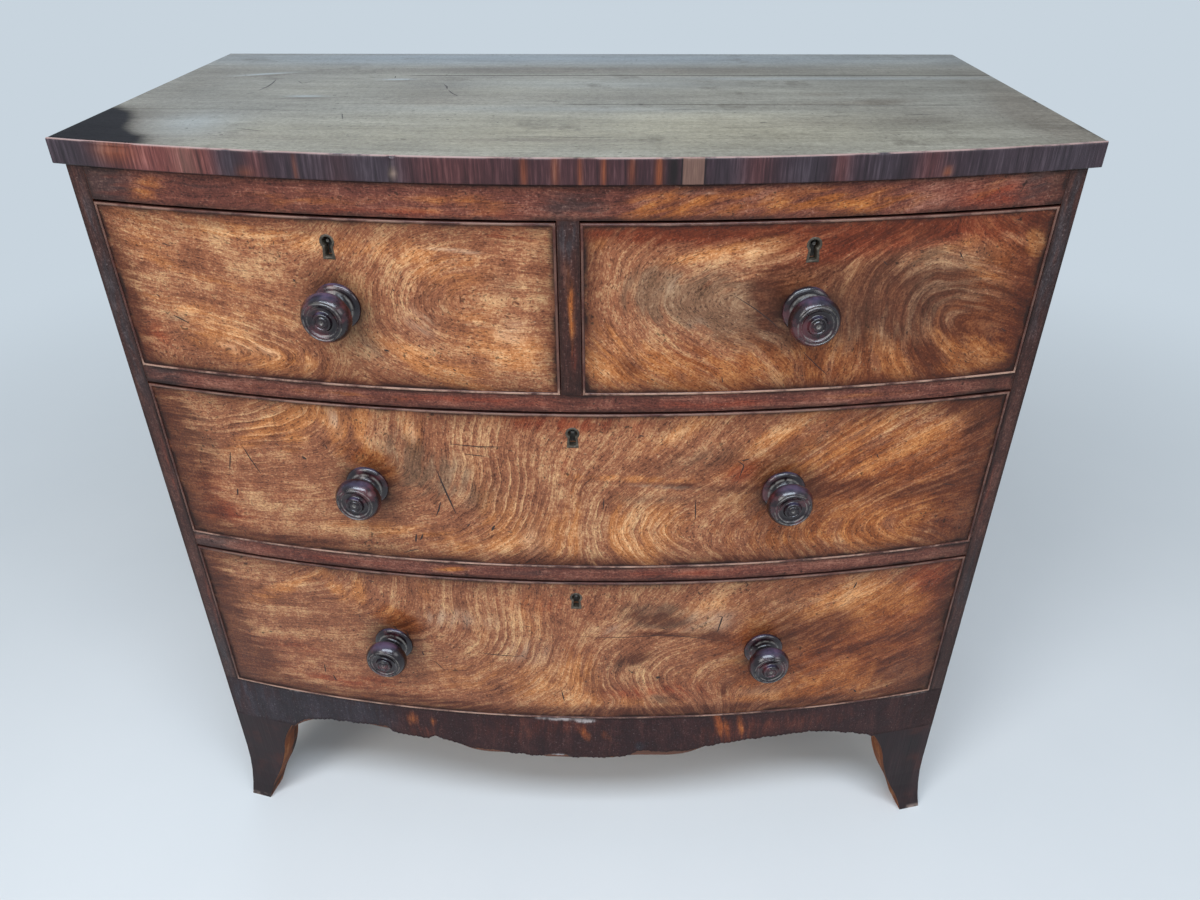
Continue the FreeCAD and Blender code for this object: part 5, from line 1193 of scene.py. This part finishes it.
# Knobs: turned from a dense dark wood, each with a foot, a neck, a fat bun and a face with a rim, a dish,
# a ring and a button. A peg behind holds it in the front; polish is thick, with dirt in the hollows.
# The upward faces carry a painted bluish sky reflection, and the neck is painted near-black as shadow.
KNOB_SECTION = (
    (0, -0.8), (23.4, -0.8), (24.4, 0.4), (24.4, 2.2), (23.0, 4.0), (20.6, 5.2), (18.6, 5.8), (17.2, 6.4),
    (15.4, 7.4), (13.4, 8.8), (12.8, 11.2), (13.6, 14.0), (16.6, 17.0), (20.6, 19.4), (24.0, 22.6),
    (25.5, 26.6), (25.4, 30.0), (24.4, 33.2), (22.8, 36.0), (21.0, 38.2), (20.0, 38.9), (19.5, 38.2),
    (19.0, 37.9), (18.5, 38.6), (17.6, 39.2), (16.6, 38.9), (15.4, 37.7), (13.6, 36.9), (11.4, 36.7),
    (10.0, 37.2), (9.4, 38.8), (9.0, 40.6), (8.0, 41.4), (6.9, 41.2), (6.3, 40.3), (5.6, 40.3), (4.9, 41.2),
    (3.5, 41.7), (2.2, 41.4), (1.2, 40.5), (0, 40.2))
section = np.array(KNOB_SECTION)
for _ in range(2):  # each corner gives way to the quarter points of its two sides
    here, there = section[:-1], section[1:]
    soft = np.stack([here * 0.75 + there * 0.25, here * 0.25 + there * 0.75], axis=1)
    section = np.concatenate([section[:1], soft.reshape(-1, 2), section[-1:]])
hollow = 0 * section[:, 0]  # where pale dirt sits: in the grooves of the face and round the flange
for groove, reach in ((19.1, 0.7), (15.6, 0.5), (1.4, 0.9)):
    hollow = np.maximum(hollow, np.exp(-((section[:, 0] - groove) / reach) ** 2) * (section[:, 1] > 36))
hollow = np.maximum(hollow, np.exp(-((section[:, 0] - 17.6) / 1.0) ** 2) * (section[:, 1] < 8))
# The neck, deep between foot and bun, is painted near-black as shadow.
deep = np.exp(-((section[:, 1] - 11.5) / 5) ** 2) * (section[:, 0] < 22)  # the dark neck
knob_wood = Finish("knob_wood")
knob_cloud = knob_wood.noise(knob_wood.place, 45.0, 4.0, 0.6)
knob_fine = knob_wood.noise(knob_wood.stretch((900, 900, 260)), 1.0, 3.0, 0.6)
knob_tone = 0.45 + (knob_cloud - 0.5) * 1.3 + (knob_fine - 0.5) * 0.6
knob_body = knob_wood.ramp(knob_tone, "07050a", "1c0f14", "44262c")
knob_body = knob_wood.blend(knob_cloud.between(0.48, 0.7) * 0.7, knob_body, colour("582a2e"))
# Painted sky reflection: faces turned upward are tinted bluish grey in patches.
painted_sky_sheen = knob_wood.facing("Z").between(0.6, 1.0) * knob_cloud.between(0.3, 0.65) * 0.55
knob_body = knob_wood.blend(painted_sky_sheen, knob_body, colour("50506c"))
# Painted shadow: the neck darkened nearly to black.
knob_body = knob_wood.blend(knob_wood.map("deep") * 0.9, knob_body, colour("040304"))
in_hollow = knob_wood.map("hollow") * knob_wood.noise(knob_wood.place, 130.0, 4.0, 0.7).between(0.36, 0.6)
knob_body = knob_wood.blend(in_hollow * 0.5, knob_body, colour("948e86"))
knob_finish = knob_wood.set(Base_Color=knob_body, Roughness=0.13 + in_hollow * 0.4 + (knob_cloud - 0.5) * 0.1,
                            Specular_IOR_Level=0.4, Coat_Weight=0.25, Coat_Roughness=0.06,
                            Normal=knob_wood.bump(knob_fine * 0.3 + knob_cloud * 0.3, 0.0005))
around = np.linspace(0, 2 * np.pi, 73)[:-1]
UPRIGHT = np.array((0, 0, 1))


def stand(turn, rise):
    """A place on the bow at an angle from its middle and a height in millimetres, with the directions out
    of the front and along it there."""
    out = np.array((math.sin(turn), -math.cos(turn), 0))
    return np.array((0, BOW_AXIS, rise / 1000)) + out * BOW_RADIUS, out, np.array((-out[1], out[0], 0))


for drawer, sides in KNOBS.items():
    carved = f"{drawer}_knob" if drawer.startswith("short") else f"{drawer}_knobs"
    points = []
    for side in sides:
        foot, out, sideways = stand(side * TURN_OUT, sum(extent(carved)[2:]) / 2)
        circle = np.cos(around)[:, None] * sideways + np.sin(around)[:, None] * UPRIGHT
        turned = foot + section[:, None, :1] / 1000 * circle + section[:, None, 1:] / 1000 * out
        points.append(turned.reshape(-1, 3))
    cells = quads(len(section), len(around), around=True)
    faces = np.concatenate([cells + i * len(points[0]) for i in range(len(sides))])
    knob = piece(f"{drawer}_turned_knob", np.concatenate(points), faces, crease=60.0)
    store(knob, hollow=np.tile(np.repeat(hollow, len(around)), len(sides)),
          deep=np.tile(np.repeat(deep, len(around)), len(sides)))
    knob.data.materials.append(knob_finish)
    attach(knob, drawer)
    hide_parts(carved)

# Keyhole threads: cast brass, pressed into the fronts and dulled to a brown grey, with iron locks behind.
# A thread is a wall that follows the keyhole's outline, with a rounded lip just proud of the veneer.
brass = Finish("dull_brass")
brass_cloud = brass.noise(brass.place, 240.0, 4.0, 0.65)
brass_finish = brass.set(Base_Color=brass.ramp(brass_cloud, "1e1a16", "463e34", "8c8070"), Metallic=0.5,
                         Roughness=0.38 + brass_cloud * 0.3, Normal=brass.bump(brass_cloud, 0.0003))
iron = Finish("dull_iron")
iron_cloud = iron.noise(iron.place, 180.0, 4.0, 0.65)
iron_finish = iron.set(Base_Color=iron.ramp(iron_cloud, "2c2826", "57534e", "8a857e"), Metallic=0.6,
                       Roughness=0.42 + iron_cloud * 0.3, Normal=iron.bump(iron_cloud, 0.0003))
dress(iron_finish, *(f"{drawer}_{part}" for drawer in DRAWERS for part in ("lock_case", "lock_bolt")))
turn = np.linspace(-np.pi, np.pi, 145)[:-1]
lip = ((0, -7.5), (0, 0.2), (0.15, 0.55), (0.5, 0.8), (1.3, 0.85), (2.1, 0.75), (2.45, 0.5), (2.6, 0.1),
       (2.6, -7.5))  # millimetres in from the outline, and out from the front
for drawer in DRAWERS:
    foot, out, sideways = stand(KEY_TURN[drawer], KEY_RISE[drawer])
    rings = []
    for wall, proud in lip:
        reach = key_outline(wall)(turn) / 1000
        rings.append(foot + (reach * np.sin(turn))[:, None] * sideways
                     - (reach * np.cos(turn))[:, None] * UPRIGHT + proud / 1000 * out)
    cells = quads(len(lip), len(turn), around=True, over=True)
    thread = piece(f"{drawer}_keyhole_thread", np.concatenate(rings), cells, crease=50.0)
    thread.data.materials.append(brass_finish)
    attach(thread, drawer)
    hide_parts(f"{drawer}_escutcheon")

# Drawer linings: thin oak sides dovetailed to the front and back, and a bottom slid into their grooves.
# They were never polished, and have only yellowed.
dress(timber("oak_side", "y", "6b5234", "9c7c52", "bd9d70", 1.5, 0.7, 0.2),
      *(f"{drawer}_sides" for drawer in DRAWERS))
dress(timber("oak_bottom", "x", "6b5234", "9c7c52", "bd9d70", 1.5, 0.7, 0.2),
      *(f"{drawer}_{part}" for drawer in DRAWERS for part in ("back", "bottom")))
